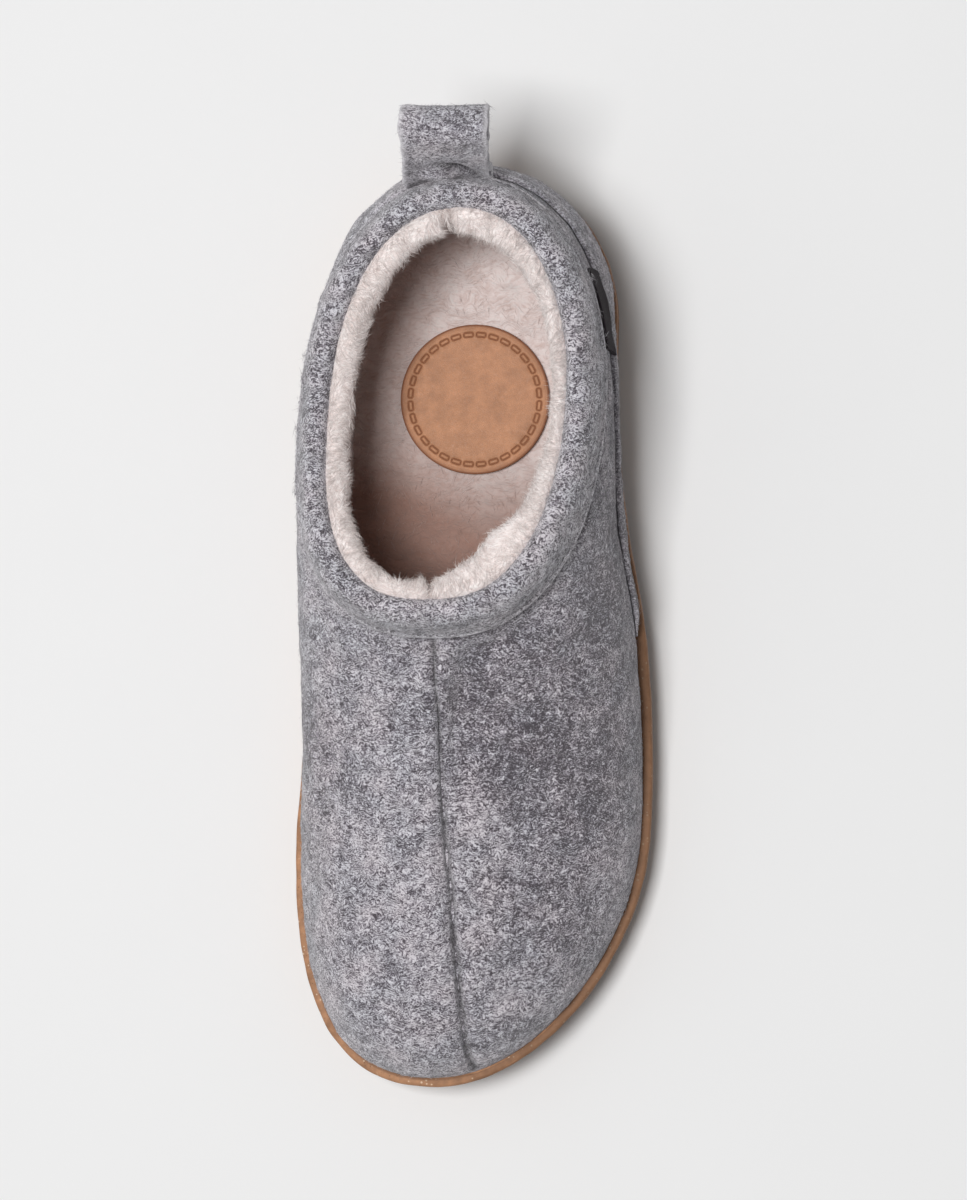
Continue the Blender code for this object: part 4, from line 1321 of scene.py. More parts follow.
class SLIPPER_OT_collar(bpy.types.Operator):
    """Make the padded felt collar with its sewn foot"""

    bl_idname = "slipper.make_collar"
    bl_label = "Padded collar"

    def execute(self, context):
        felt = context.scene.slipper_felt
        way = np.linspace(0.0, 1.0, COLLAR_COLUMNS, endpoint=False)
        foot, _, axis, length, side = collar_section(way)
        across, up = smooth_curve(COLLAR_SECTION, COLLAR_ROWS, closed=True).T
        across, up = across[:, None, None], up[:, None, None]
        half = COLLAR_THICKNESS / 2
        points = foot + axis * (FIT + (length - FIT) * up) + side * (half * across)
        puff = uneven(points, COLLAR_WAVES)
        outside = across[..., 0] > 0
        move = np.where(outside, puff, INSIDE_PUFF * puff) * ease(up[..., 0] / PUFF_START)
        points = points + unit(side * across + axis * (up - PUFF_MIDDLE)) * move[..., None]
        SURFACES["collar"] = points[COLLAR_OUTSIDE]
        # Painted shade along the collar's foot and in the channel above its bead; pale mark on the
        # bead
        seam, edge = (sum(np.where(outside, amount * bell(up[..., 0] - place, half_width), 0.0)
                          for amount, place, half_width in lines)
                      for lines in (COLLAR_SHADE_LINES, COLLAR_BEAD))
        shape = np.ones(points.shape[:2])
        marks = {"seam": seam * shape, "edge": edge * shape}
        rows = len(points)
        number = np.arange(rows * COLLAR_COLUMNS).reshape(rows, COLLAR_COLUMNS)
        faces = np.concatenate([fill_grid(rows, COLLAR_COLUMNS, True),
                                join_rows(number[-1], number[0], True)])
        piece = make_piece("felt_collar", points, [faces],
                           felt_material("collar_felt", felt, COLLAR_CONTRAST),
                           ("collar_band",), marks)
        return {'FINISHED'}


# Lining: its measure of the collar against that of the sole, its uneven thickness, the
# partings at the heel and in front, its tufts, and the shade painted on it from the top down,
# towards the toe and in the partings, less on the inner wall
MEASURE_POINTS = 2001
COLLAR_MEASURE = 0.55
LINING_WAVES = ((0.05, 0.015, 41), (0.02, 0.006, 42))
TUFT_WAVES = ((0.20, 0.0050, 43), (0.14, 0.0021, 44))
TUFT_FULL = 2 * MM
HEEL_PARTING = 0.004
FRONT_PARTING = 0.496
PARTING_SCALE = 0.3
PARTING_HALF = 0.0013
PARTING_DEPTH = 0.62
PARTING_SHADE = 0.6
PARTING_START = 0.45
PARTING_RUN = 0.25
SHADE_FLOOR = 0.030
SHADE_RUN = 0.052
DEEP_SHADE = 0.72
INNER_WALL_LESS_SHADE = 0.27
INNER_WALL_LESS_SHADE_START = 0.012
INNER_WALL_LESS_SHADE_RUN = 0.016
LINING_TOE_SHADE = 0.125
TOE_RUN = 0.05


def lining_ways():
    """Ways round the sole, spaced evenly halfway between the collar's measure and the sole's."""
    way = np.linspace(0.0, 1.0, MEASURE_POINTS)
    there = collar_way(way)
    there[-1] = 1.0
    measure = (1 - COLLAR_MEASURE) * way + COLLAR_MEASURE * there
    return np.interp(np.linspace(0.0, 1.0, LINING_COLUMNS, endpoint=False), measure, way)


def shade_by_depth(points):
    """Share of painted shade: 1 at the footbed and 0 at the top of the lining."""
    return 1 - ease((points[..., 2] - SHADE_FLOOR) / SHADE_RUN)


def toe_share(points, start):
    """0 behind a distance from the heel end and 1 past it, towards the toe."""
    return ease((along_of(points[..., 1]) - start) / TOE_RUN)


def lining_knots(way, front):
    """Rows of points of the lining from the footbed up to the lip, on its face or its back."""
    rows = []
    for rise in LINING_RISES:
        inset = FELT + (LINING_DEPTH if front else FIT)
        rows.append(upper_surface(way, np.full(way.shape, rise), -inset))
    there = collar_way(way)
    _, top, axis, _, side = collar_section(there)
    roll = curve_through(ROLL, ROLL_COLUMNS, "way", "width", there)
    for up, inward in FLEECE_FACE if front else FLEECE_BACK:
        past = inward * MM * (roll if front and inward > 0 else np.ones(len(way)))
        rows.append(top + axis * (up * MM) - side * (COLLAR_THICKNESS / 2 + past)[:, None])
    return np.array(rows)


class SLIPPER_OT_lining(bpy.types.Operator):
    """Make the fleece lining with the roll inside the collar"""

    bl_idname = "slipper.make_lining"
    bl_label = "Fleece lining"

    def execute(self, context):
        fleece = context.scene.slipper_fleece
        way = lining_ways()
        face = smooth_curve(lining_knots(way, True), LINING_ROWS)
        back = smooth_curve(lining_knots(way, False), LINING_ROWS)
        depth = face - back
        rows = np.linspace(0.0, 1.0, LINING_ROWS)[:, None]
        thick = np.linalg.norm(depth, axis=-1)
        around = collar_way(way)[None, :]
        places = (np.minimum(around, 1 - around) - HEEL_PARTING, around - FRONT_PARTING)
        parting = sum(bell(place * PARTING_SCALE, PARTING_HALF) for place in places)
        climb = ease((rows - PARTING_START) / PARTING_RUN)
        notch = 1 - PARTING_DEPTH * parting * climb
        face = back + depth * (uneven(face, LINING_WAVES, 1.0) * notch)[..., None]
        normals, _ = grid_normals(face, True)
        inward = unit(depth)
        normals = normals * np.sign(np.sum(normals * inward, axis=-1).mean())
        tuft = fleece.tuft * uneven(face, TUFT_WAVES)
        face = face + inward * (tuft * ease(thick / TUFT_FULL))[..., None]
        SURFACES["lining"] = face
        # Painted shade low inside, towards the toe and in the partings, lessened on the inner wall
        lighter = INNER_WALL_LESS_SHADE * ease((-face[..., 0] - INNER_WALL_LESS_SHADE_START) / INNER_WALL_LESS_SHADE_RUN)
        deep = np.clip((DEEP_SHADE - lighter) * shade_by_depth(face) + toe_share(face, LINING_TOE_SHADE),
                       0.0, 1.0)
        deep = np.maximum(deep, PARTING_SHADE * parting * climb)
        make_piece("fleece_lining", np.stack([face, back]),
                   shell_polygons(LINING_ROWS, len(way), True),
                   fleece_material("fleece", fleece), (),
                   {"deep": np.stack([deep, deep])})
        return {'FINISHED'}


def from_disc(spot):
    """Distance in plan from the middle of the disc."""
    return np.hypot(spot[..., 0] - DISC_X, spot[..., 1] - HEEL_END_Y + DISC_FROM_HEEL)


def footbed_floor(spot):
    """Height of the footbed's lower face."""
    return sole_top(along_of(spot[..., 1])) + FIT


# Footbed: tufts of its pile, pressed down round the disc, the rows of its edge (distance inside
# and share of its height), how brown it is all over, and the shade painted at the toe, heel and
# inner side
FOOTBED_WAVES = ((0.30, 0.011, 51), (0.26, 0.0046, 52), (0.16, 0.0023, 53))
FOOTBED_LEVEL = 0.5
PILE_BASE = 0.25
PRESS_START = 0.1 * MM
PRESS_RUN = 2.5 * MM
FOOTBED_EDGE = ((0.0, 0.0), (0.0, 0.5), (0.0, 0.8), (0.35 * INSOLE_EDGE_ROUND, 0.93),
                (INSOLE_EDGE_ROUND, 1.0))
FOOTBED_TINT = 0.30
FOOTBED_TOE = 0.070
FOOTBED_TOE_SHADE = 0.8
HEEL_SHADE = 0.35
HEEL_SHADE_REACH = 0.03
INNER_SHADE = 0.30
INNER_SHADE_START = 0.008
INNER_SHADE_RUN = 0.032


class SLIPPER_OT_footbed(bpy.types.Operator):
    """Make the fleece footbed"""

    bl_idname = "slipper.make_footbed"
    bl_label = "Fleece footbed"

    def execute(self, context):
        fleece = context.scene.slipper_fleece
        way = np.linspace(0.0, 1.0, FOOTBED_COLUMNS, endpoint=False)
        plan, normal = FOOT_RING.at(way)
        inset = FELT + INSOLE_SIDE_FIT

        def height(spot):
            """Top of the pile: tufts on the footbed, pressed down under the disc."""
            solid = lifted(spot, np.zeros(spot.shape[:-1]))
            tufts = uneven(solid, FOOTBED_WAVES, FOOTBED_LEVEL)
            pressed = ease((from_disc(spot) - DISC_RADIUS - PRESS_START) / PRESS_RUN)
            return footbed_floor(spot) + INSOLE + fleece.tuft * (tufts + PILE_BASE) * pressed

        rows = []
        for inside, lift in FOOTBED_EDGE:
            moved = plan - normal * (inset + inside)
            floor = footbed_floor(moved)
            rows.append(lifted(moved, floor + lift * (height(moved) - floor)))
        points, polygons = ring_body(rows, FOOTBED_RUNGS, footbed_floor, height, HIDDEN_RUNGS)
        count = len(way)
        top = points[-(count // 2 - 1) * (FOOTBED_RUNGS - 1):]
        SURFACES["footbed"] = top.reshape(count // 2 - 1, FOOTBED_RUNGS - 1, 3)
        # Painted shade towards the toe, at the heel end and on the inner side, over some brown all
        # over
        toe = FOOTBED_TOE_SHADE * toe_share(points, FOOTBED_TOE)
        heel = HEEL_SHADE * ease((HEEL_SHADE_REACH - along_of(points[:, 1])) / HEEL_SHADE_REACH)
        inner = INNER_SHADE * ease((INNER_SHADE_START - points[:, 0]) / INNER_SHADE_RUN)
        deep = np.clip(FOOTBED_TINT + toe + heel + inner, 0.0, 1.0)
        piece = make_piece("fleece_footbed", points, polygons,
                           fleece_material("footbed_fleece", fleece),
                           ("insole",), {"deep": deep})
        return {'FINISHED'}


# Disc: its rounded edge, the band of fine rows round the marks, the smallest radius before the
# poles, the rows inside, in and outside the band, the depth and softness of the marks and of
# the line near the edge, and how burnt the edge and that line are
DISC_ROUND = 0.45 * MM
DISC_CHAMFER = 0.2 * MM
DISC_BAND = 0.4 * MM
DISC_POLE = 0.6 * MM
DISC_ROWS = (16, 22, 6)
DISC_ROUND_ROWS = 6
DISC_WAVES = ((0.05 * MM, 0.012, 61),)
MARK_CORNER = 0.45 * MM
PRESS_HALF = 0.26 * MM
PRESS_DEPTH = 0.30 * MM
RIM_INSET = 0.9 * MM
DISC_RIM_HALF = 0.3 * MM
DISC_RIM_DEPTH = 0.10 * MM
BURNT_EDGE = 1.7 * MM
EDGE_BURN = 0.85
RIM_BURN = 0.25


class SLIPPER_OT_disc(bpy.types.Operator):
    """Make the bare leather disc with its pressed ring"""

    bl_idname = "slipper.make_disc"
    bl_label = "Leather disc"

    def execute(self, context):
        trim = context.scene.slipper_trim
        low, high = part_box("insole_disc")
        middle = (low + high) / 2
        ring = DISC_RADIUS - trim.mark_inset
        band = trim.mark_width / 2 + DISC_BAND
        shoulder = DISC_RADIUS - DISC_ROUND
        radii = np.concatenate([
            np.linspace(DISC_POLE, ring - band, DISC_ROWS[0], endpoint=False),
            np.linspace(ring - band, ring + band, DISC_ROWS[1], endpoint=False),
            np.linspace(ring + band, shoulder, DISC_ROWS[2], endpoint=False),
        ])
        flat = len(radii)
        turn = np.linspace(0.0, math.pi / 2, DISC_ROUND_ROWS)
        radii = np.concatenate([radii, shoulder + DISC_ROUND * np.sin(turn),
                                [DISC_RADIUS, DISC_RADIUS - DISC_CHAMFER, DISC_POLE]])
        heights = np.concatenate([np.full(flat, high.z),
                                  high.z - DISC_ROUND * (1 - np.cos(turn)),
                                  [low.z + DISC_CHAMFER, low.z, low.z]])
        angle = np.linspace(0.0, 2 * math.pi, DISC_COLUMNS, endpoint=False)
        pitch = 2 * math.pi / trim.marks
        across = (np.mod(angle, pitch) - pitch / 2)[None, :] * ring
        away = radii[:, None] - ring
        across, away = np.broadcast_arrays(across, away)
        box = np.stack([abs(across) - trim.mark_length / 2 + MARK_CORNER,
                        abs(away) - trim.mark_width / 2 + MARK_CORNER], axis=-1)
        outside = np.linalg.norm(np.maximum(box, 0.0), axis=-1)
        inside = np.minimum(box.max(axis=-1), 0.0)
        top = (np.arange(len(radii)) < flat)[:, None]
        press = bell(outside + inside - MARK_CORNER, PRESS_HALF) * top
        rim = bell(away - trim.mark_inset + RIM_INSET, DISC_RIM_HALF) * top
        plan = radii[:, None, None] * np.stack([np.cos(angle), np.sin(angle)], axis=-1)
        wave = uneven(lifted(plan, np.zeros(plan.shape[:-1])), DISC_WAVES)
        z = heights[:, None] - PRESS_DEPTH * press - DISC_RIM_DEPTH * rim + wave * top
        z = np.minimum(z, high.z)
        points = lifted(plan + np.array(middle[:2]), z).reshape(-1, 3)
        first = len(points)
        poles = [(middle.x, middle.y, float(z[0].mean())), (middle.x, middle.y, low.z)]
        number = np.arange(first).reshape(len(radii), DISC_COLUMNS)
        caps = [np.stack([np.full(DISC_COLUMNS, first), np.roll(number[0], -1), number[0]], -1),
                np.stack([np.full(DISC_COLUMNS, first + 1), number[-1],
                          np.roll(number[-1], -1)], -1)]
        side = np.clip((radii - DISC_RADIUS + BURNT_EDGE) / BURNT_EDGE, 0.0, 1.0)[:, None]
        burnt = np.maximum(press, np.maximum(side ** 2, ~top) * EDGE_BURN)
        burnt = np.maximum(burnt, rim * RIM_BURN)
        make_piece("leather_disc", np.concatenate([points, poles]),
                   [fill_grid(len(radii), DISC_COLUMNS, True), np.concatenate(caps)],
                   leather_material("leather", trim), ("insole_disc",),
                   {"burnt": np.append(burnt.ravel(), [0.0, 1.0])})
        return {'FINISHED'}


def bent_back(contour):
    """Bends a contour from the lean of the heel to the lean of the loop, from its foot up."""
    upright = math.pi - math.radians(SECTIONS[0][SECTION_COLUMNS.index("slope")])
    reach = np.linspace(-2 * LOOP_REACH, 2 * LOOP_REACH, MEASURE_POINTS)
    share = ease((reach - LOOP_BEND_START) / (LOOP_BEND_END - LOOP_BEND_START))
    angle = upright + (LOOP_LEAN - upright) * share
    step = reach[1] - reach[0]
    away = np.cumsum(np.cos(angle)) * step
    up = np.cumsum(np.sin(angle)) * step
    away = away - np.interp(0.0, reach, away)
    up = up - np.interp(0.0, reach, up)
    here = np.interp(contour[:, 1], reach, angle)
    y = np.interp(contour[:, 1], reach, away) + contour[:, 0] * np.sin(here)
    z = np.interp(contour[:, 1], reach, up) - contour[:, 0] * np.cos(here)
    return np.stack([y, z], axis=-1)


def loop_contour(extra, low):
    """Half of the folded tape's outline seen from the side: a leg, the fold and a leg."""
    leg = LOOP_REACH - LOOP_GAP / 2 - LOOP_TAPE
    height = np.linspace(0.0, leg, LOOP_LEG_ROWS)
    spread = LOOP_JOIN + (LOOP_GAP / 2 - LOOP_JOIN) * ease(LOOP_PART * height / leg)
    turn = np.linspace(math.pi, 0.0, LOOP_FOLD_ROWS)[1:-1]
    away = np.concatenate([-spread - extra, (LOOP_GAP / 2 + extra) * np.cos(turn),
                           (spread + extra)[::-1]])
    rise = leg + (LOOP_GAP / 2 + extra) * np.sin(turn)
    up = np.concatenate([height, rise, height[::-1]])
    up[[0, -1]] = low
    return np.stack([away, up], axis=-1)


def edge_share(spread, start):
    """0 in the middle of the tape and 1 at its edges, from a share of its half width on."""
    return np.clip((abs(spread) - start) / (1 - start), 0.0, 1.0)


# Pull loop: the stretch of the heel that it sits on, columns crowded to its edges, which are
# thin and pale, the puff of its front leg and the fold over it with shade painted in it, and
# the flare, sag, drift and waves of the tape
LOOP_SEAT_REACH = 0.12
LOOP_SEAT_POINTS = 193
LOOP_CROWDING = 1.35
LOOP_EDGE_THIN = 0.62 * MM
LOOP_THIN_START = 0.93
LOOP_EDGE_START = 0.86
LOOP_PUFF = 2.8 * MM
LOOP_PUFF_SIDE = 1.5 * MM
LOOP_PUFF_WIDTH = 6 * MM
LOOP_PUFF_RISE = 9 * MM
LOOP_PUFF_HALF = 3.2 * MM
LOOP_FOLD_DEPTH = 2.2 * MM
LOOP_FOLD_RISE = 13.5 * MM
LOOP_FOLD_HALF = 2.0 * MM
LOOP_FOLD_SIDE = 3.5 * MM
LOOP_FOLD_WIDTH = 6.5 * MM
LOOP_FOLD_BOW = 0.055
LOOP_FOLD_SHADE = 1.3
LOOP_FOLD_WAVES = ((0.5 * MM, 0.007, 73),)
LOOP_TOP_SHARE = 1.2
LOOP_FLARE = 0.55 * MM
LOOP_FLARE_START = 0.55
LOOP_FLARE_RUN = 0.45
LOOP_WAIST = 0.25 * MM
LOOP_WAIST_RUN = 0.4
LOOP_DRIFT = 1.9 * MM
LOOP_DRIFT_RUN = 0.9
LOOP_SAG = 0.5 * MM
LOOP_SAG_MIDDLE = 0.4
LOOP_SAG_START = 0.5
LOOP_SAG_DROP = 0.6
LOOP_EDGE_WAVES = ((0.22 * MM, 0.006, 71),)
LOOP_WAVES = ((0.14 * MM, 0.007, 72),)
LOOP_WAVE_AIM = (0.0, 0.4, 1.0)


class SLIPPER_OT_loop(bpy.types.Operator):
    """Make the folded felt pull loop at the heel"""

    bl_idname = "slipper.make_loop"
    bl_label = "Pull loop"

    def execute(self, context):
        felt = context.scene.slipper_felt
        way = np.linspace(-LOOP_SEAT_REACH, LOOP_SEAT_REACH, LOOP_SEAT_POINTS)
        seat = upper_surface(way, np.ones(len(way)), FIT)
        order = np.argsort(seat[:, 0])
        spread = np.linspace(-1.0, 1.0, LOOP_COLUMNS)
        spread = np.sign(spread) * (1 - (1 - abs(spread)) ** LOOP_CROWDING)
        side = spread * LOOP_WIDTH / 2
        depth = np.interp(LOOP_X + side, seat[order, 0], seat[order, 1])
        level = float(np.max(seat[:, 2]))
        thin = LOOP_EDGE_THIN * edge_share(spread, LOOP_THIN_START) ** 2
        walls = []
        for extra, low in ((LOOP_TAPE, -LOOP_TAB), (0.0, 0.0)):
            contour = loop_contour(extra, low)
            bent = bent_back(contour)
            run = np.gradient(bent, axis=0)
            out = unit(np.stack([run[:, 1], -run[:, 0]], axis=-1))
            move = -thin[:, None] * np.ones((1, len(contour)))
            if extra:
                out = -out
                puff, crease = self.crease(contour, side)
                move = move + puff
            walls.append(self.wall(contour, bent, out, move, side, spread, depth, level))
        rows, columns = walls[0].shape[:2]
        SURFACES["loop"] = walls[0]
        edge = edge_share(spread, LOOP_EDGE_START)[:, None] * np.ones((1, columns))
        # Painted shade in the fold of the front leg, carried with the seam marks
        marks = {"edge": np.stack([edge, edge]), "seam": np.stack([crease, crease * 0])}
        make_piece("felt_pull_loop", np.stack(walls), shell_polygons(rows, columns, True),
                   felt_material("loop_felt", felt), ("pull_loop",), marks)
        return {'FINISHED'}

    def crease(self, contour, side):
        """How the front leg puffs out and folds in above its foot, and the fold's painted shade."""
        front = (np.arange(len(contour)) < len(contour) // 2)[None, :]
        rise = contour[None, :, 1] + LOOP_FOLD_BOW * MM * (side[:, None] / MM + 3) ** 2
        bulge = (bell(side[:, None] + LOOP_PUFF_SIDE, LOOP_PUFF_WIDTH)
                 * bell(rise - LOOP_PUFF_RISE, LOOP_PUFF_HALF))
        rise = rise + uneven(np.stack([side, side * 0, side * 0], -1), LOOP_FOLD_WAVES)[:, None]
        fold = (bell(rise - LOOP_FOLD_RISE, LOOP_FOLD_HALF)
                * bell(side[:, None] - LOOP_FOLD_SIDE, LOOP_FOLD_WIDTH))
        return (front * (LOOP_PUFF * bulge - LOOP_FOLD_DEPTH * fold),
                LOOP_FOLD_SHADE * front * fold)

    def wall(self, contour, bent, out, move, side, spread, depth, level):
        """Points of the tape's outer or inner face, from its bent contour to its soft edges."""
        deepest = float(np.max(depth))
        curl = 1 - ease(contour[:, 1] / LOOP_REACH)
        y = deepest + LOOP_TAPE + LOOP_JOIN + bent[None, :, 0]
        y = y + (depth - deepest)[:, None] * curl[None, :] + move * out[None, :, 0]
        z = level + bent[None, :, 1] + move * out[None, :, 1]
        x = np.repeat((LOOP_X + side)[:, None], len(contour), axis=1)
        points = np.stack([x, y, z], axis=-1)
        rise = np.clip(contour[:, 1] / LOOP_REACH, 0.0, LOOP_TOP_SHARE)[None, :]
        flare = (LOOP_FLARE * ease((rise - LOOP_FLARE_START) / LOOP_FLARE_RUN)
                 - LOOP_WAIST * ease(rise / LOOP_WAIST_RUN))
        points[..., 0] += spread[:, None] * flare - LOOP_DRIFT * (1 - ease(rise / LOOP_DRIFT_RUN))
        sag = (LOOP_SAG * (abs(spread)[:, None] ** 2 - LOOP_SAG_MIDDLE)
               * ease((rise - LOOP_SAG_START) / (1 - LOOP_SAG_START)))
        points[..., 1] += sag
        points[..., 2] += LOOP_SAG_DROP * sag
        points[..., 0] += uneven(points, LOOP_EDGE_WAVES) * abs(spread)[:, None] ** 3
        points += uneven(points, LOOP_WAVES)[..., None] * np.array(LOOP_WAVE_AIM)
        return points


# Side tab: the stretch of the collar's foot that is searched for its ends, the share of its
# height where its fold starts, how thick the fold's edge is and its waves
TAB_REACH = 0.3
TAB_TRIAL = 601
TAB_FOLD_START = 0.88
TAB_FOLD_EDGE = 0.25
TAB_WAVES = ((0.25 * MM, 0.009, 81),)


class SLIPPER_OT_tab(bpy.types.Operator):
    """Make the bare dark tab under the collar on the outer side"""

    bl_idname = "slipper.make_tab"
    bl_label = "Side tab"

    def execute(self, context):
        trim = context.scene.slipper_trim
        way = np.linspace(0.0, TAB_REACH, TAB_TRIAL)
        edge = upper_base(way, np.ones(len(way)))
        ends = [TAB_FROM_HEEL - TAB_LENGTH / 2, TAB_FROM_HEEL + TAB_LENGTH / 2]
        start, end = np.interp(ends, HEEL_END_Y - edge[:, 1], way)
        run = np.linspace(0.0, 1.0, TAB_COLUMNS)[None, :]
        columns = start + (end - start) * run
        wall = 2 * np.linalg.norm(upper_base(columns, 1.0) - upper_base(columns, 0.5), axis=-1)
        share = np.linspace(1.0, 0.0, TAB_ROWS)[:, None]
        rise = TAB_TOP_RISE - share * TAB_HEIGHT / wall
        offset = FIT + share * TAB_HEIGHT * math.sin(TAB_LEAN)
        bend = ((share - TAB_FOLD_START) / (1 - TAB_FOLD_START)).clip(0.0, 1.0)
        fold = np.sqrt(1 - bend ** 2)
        curl = share * uneven(upper_base(columns, rise), TAB_WAVES)
        middle = offset + TAB_THICKNESS / 2 + curl
        half = TAB_THICKNESS / 2 * (TAB_FOLD_EDGE + (1 - TAB_FOLD_EDGE) * fold)
        outer = upper_surface(columns, rise, middle + half)
        inner = upper_surface(columns, rise, middle - half)
        run_mm = run * TAB_LENGTH / MM + 0 * share
        width_mm = share * TAB_HEIGHT / MM + 0 * run
        make_piece("webbing_tab", np.stack([outer, inner]),
                   shell_polygons(TAB_ROWS, TAB_COLUMNS, False),
                   webbing_material("webbing", trim), ("side_tab",),
                   {"run": np.stack([run_mm, run_mm]), "width": np.stack([width_mm, width_mm])})
        return {'FINISHED'}


# Sole: the tread's end before the toe and the run of its walls, the undercut at the foot of the
# side, the lean up to the groove's top, the rim inside its round, rows of each part, the ripple
# of the side, how dark the tread is, and the shade painted on the outer side and on the rim
# under the felt
TREAD_TOE_BORDERS = 2.2
TREAD_WALL = 0.35 * MM
UNDERCUT_SIDE = 0.35
SIDE_LEAN = 0.3
RIM_INSIDE = 1.6
RIM_UNDER_FELT = 0.5 * MM
SOLE_EDGE_ROWS = 6
SOLE_GROOVE_ROWS = 9
SOLE_RIM_ROWS = 7
SOLE_TOP_RUNGS = 8
SIDE_WAVES = ((0.07 * MM, 0.009, 91),)
TREAD_TINT = 0.55
TREAD_TINT_HEIGHT = 0.6 * MM
OUTER_SHADE = 1.4
OUTER_SHADE_START = 1.5


def tread_places():
    """Distances from the heel end of the grooves, in the heel flat and in the forefoot."""
    places = []
    for start, end in ((HEEL_FLAT_START, HEEL_FLAT_END),
                       (FOREFOOT_FLAT_START, SHOE_LENGTH - TREAD_BORDER * TREAD_TOE_BORDERS)):
        count = int((end - start - TREAD_PITCH) // TREAD_PITCH)
        first = start + (end - start - count * TREAD_PITCH) / 2
        places += [first + k * TREAD_PITCH for k in range(count + 1)]
    return places


def tread_height(spot):
    """Lower face of the sole with straight grooves inside a plain border."""
    along = along_of(spot[..., 1])
    inner = sole_side(-1, along)[..., 0] + TREAD_BORDER + SOLE_UNDERCUT
    outer = sole_side(1, along)[..., 0] - TREAD_BORDER - SOLE_UNDERCUT
    inside = ease((spot[..., 0] - inner) / TREAD_WALL) * ease((outer - spot[..., 0]) / TREAD_WALL)
    cut = np.zeros(along.shape)
    for place in tread_places():
        past = TREAD_GROOVE / 2 + TREAD_WALL - abs(along - place)
        cut = np.maximum(cut, ease(past / (2 * TREAD_WALL)))
    return sole_bottom(along) + TREAD_DEPTH * cut * inside


class SLIPPER_OT_sole(bpy.types.Operator):
    """Make the moulded sole with its side groove and tread"""

    bl_idname = "slipper.make_sole"
    bl_label = "Moulded sole"

    def execute(self, context):
        sole = context.scene.slipper_sole
        way = np.linspace(0.0, 1.0, SOLE_COLUMNS, endpoint=False)
        plan, normal = SOLE_RING.at(way)
        along = along_of(plan[:, 1])
        low = sole_bottom(along)
        high = sole_top(along)
        groove = high - SIDE_GROOVE_BELOW_RIM
        rows = []
        for t in np.linspace(0.0, math.pi / 2, SOLE_EDGE_ROWS):
            rows.append((SOLE_UNDERCUT * (UNDERCUT_SIDE + (1 - UNDERCUT_SIDE) * (1 - np.sin(t))),
                         low + SOLE_EDGE_ROUND * (1 - np.cos(t))))
        for t in np.linspace(-1.0, 1.0, SOLE_GROOVE_ROWS):
            dip = SIDE_GROOVE_DEPTH * (math.cos(t * math.pi / 2) + SIDE_LEAN * (1 - t))
            rows.append((dip, groove + SIDE_GROOVE_WIDTH / 2 * t))
        for t in np.linspace(0.0, math.pi / 2, SOLE_RIM_ROWS):
            rows.append((RIM_ROUND * (1 - np.cos(t)), high - RIM_ROUND * (1 - np.sin(t))))
        rows.append((RIM_ROUND * RIM_INSIDE, high))
        rows.append((rim_width(along) - RIM_UNDER_FELT, high))
        grid = np.array([lifted(plan - normal * np.broadcast_to(inset, way.shape)[:, None],
                                height) for inset, height in rows])
        side = slice(SOLE_EDGE_ROWS, -2)
        ripple = uneven(grid, SIDE_WAVES)
        grid[side] += lifted(normal, 0 * along)[None] * ripple[side, :, None]
        points, polygons = ring_body(grid, SOLE_TOP_RUNGS, tread_height,
                                     lambda spot: sole_top(along_of(spot[..., 1])), SOLE_RUNGS)
        worn = (points[:, 2] < tread_height(points[:, :2]) + TREAD_TINT_HEIGHT) * TREAD_TINT
        border = worn[:grid.shape[0] * len(way)].reshape(grid.shape[0], len(way))
        # Painted shade on the outer side and on the rim under the felt
        border += OUTER_SHADE * ease(normal[:, 0] * OUTER_SHADE_START)
        border[-1] = OUTER_SHADE
        make_piece("moulded_sole", points, polygons, sole_material("sole_mix", sole),
                   ("outsole",), {"worn": worn})
        return {'FINISHED'}


# Loose hairs: the pieces, with their share of all hairs and the faces that they grow on (face,
# whether it closes round, share of the piece's hairs, whether crowded into pills), a spot
# inside the shoe that they point away from, and the spread of their lift, bend, length,
# radius and tone
HAIR_SEED = 101
HAIR_PIECES = (
    ("felt_hairs", 0.56, (("upper", True, 0.84, False), ("counter", False, 0.16, False))),
    ("collar_hairs", 0.44, (("collar", True, 0.66, False), ("loop", True, 0.16, False),
                            ("collar", True, 0.18, True))),
)
INSIDE_SPOT = (0.0, -0.06, 0.03)
HAIR_ROUGHNESS = 0.9
HAIR_DARK = 1.3
HAIR_STAND = 0.12
HAIR_LIFT = (0.05, 0.55)
HAIR_LIFT_POWER = 1.5
HAIR_BEND = 0.45
HAIR_DROOP = 0.35
HAIR_LENGTHS = (0.4, 1.4)
HAIR_RADII = (0.6, 1.2)
HAIR_ROOT = 0.05 * MM
HAIR_TONE = (1.3, 1.0)
PILL_RADIUS = 0.5 * MM
PILL_LIFT = 0.2 * MM


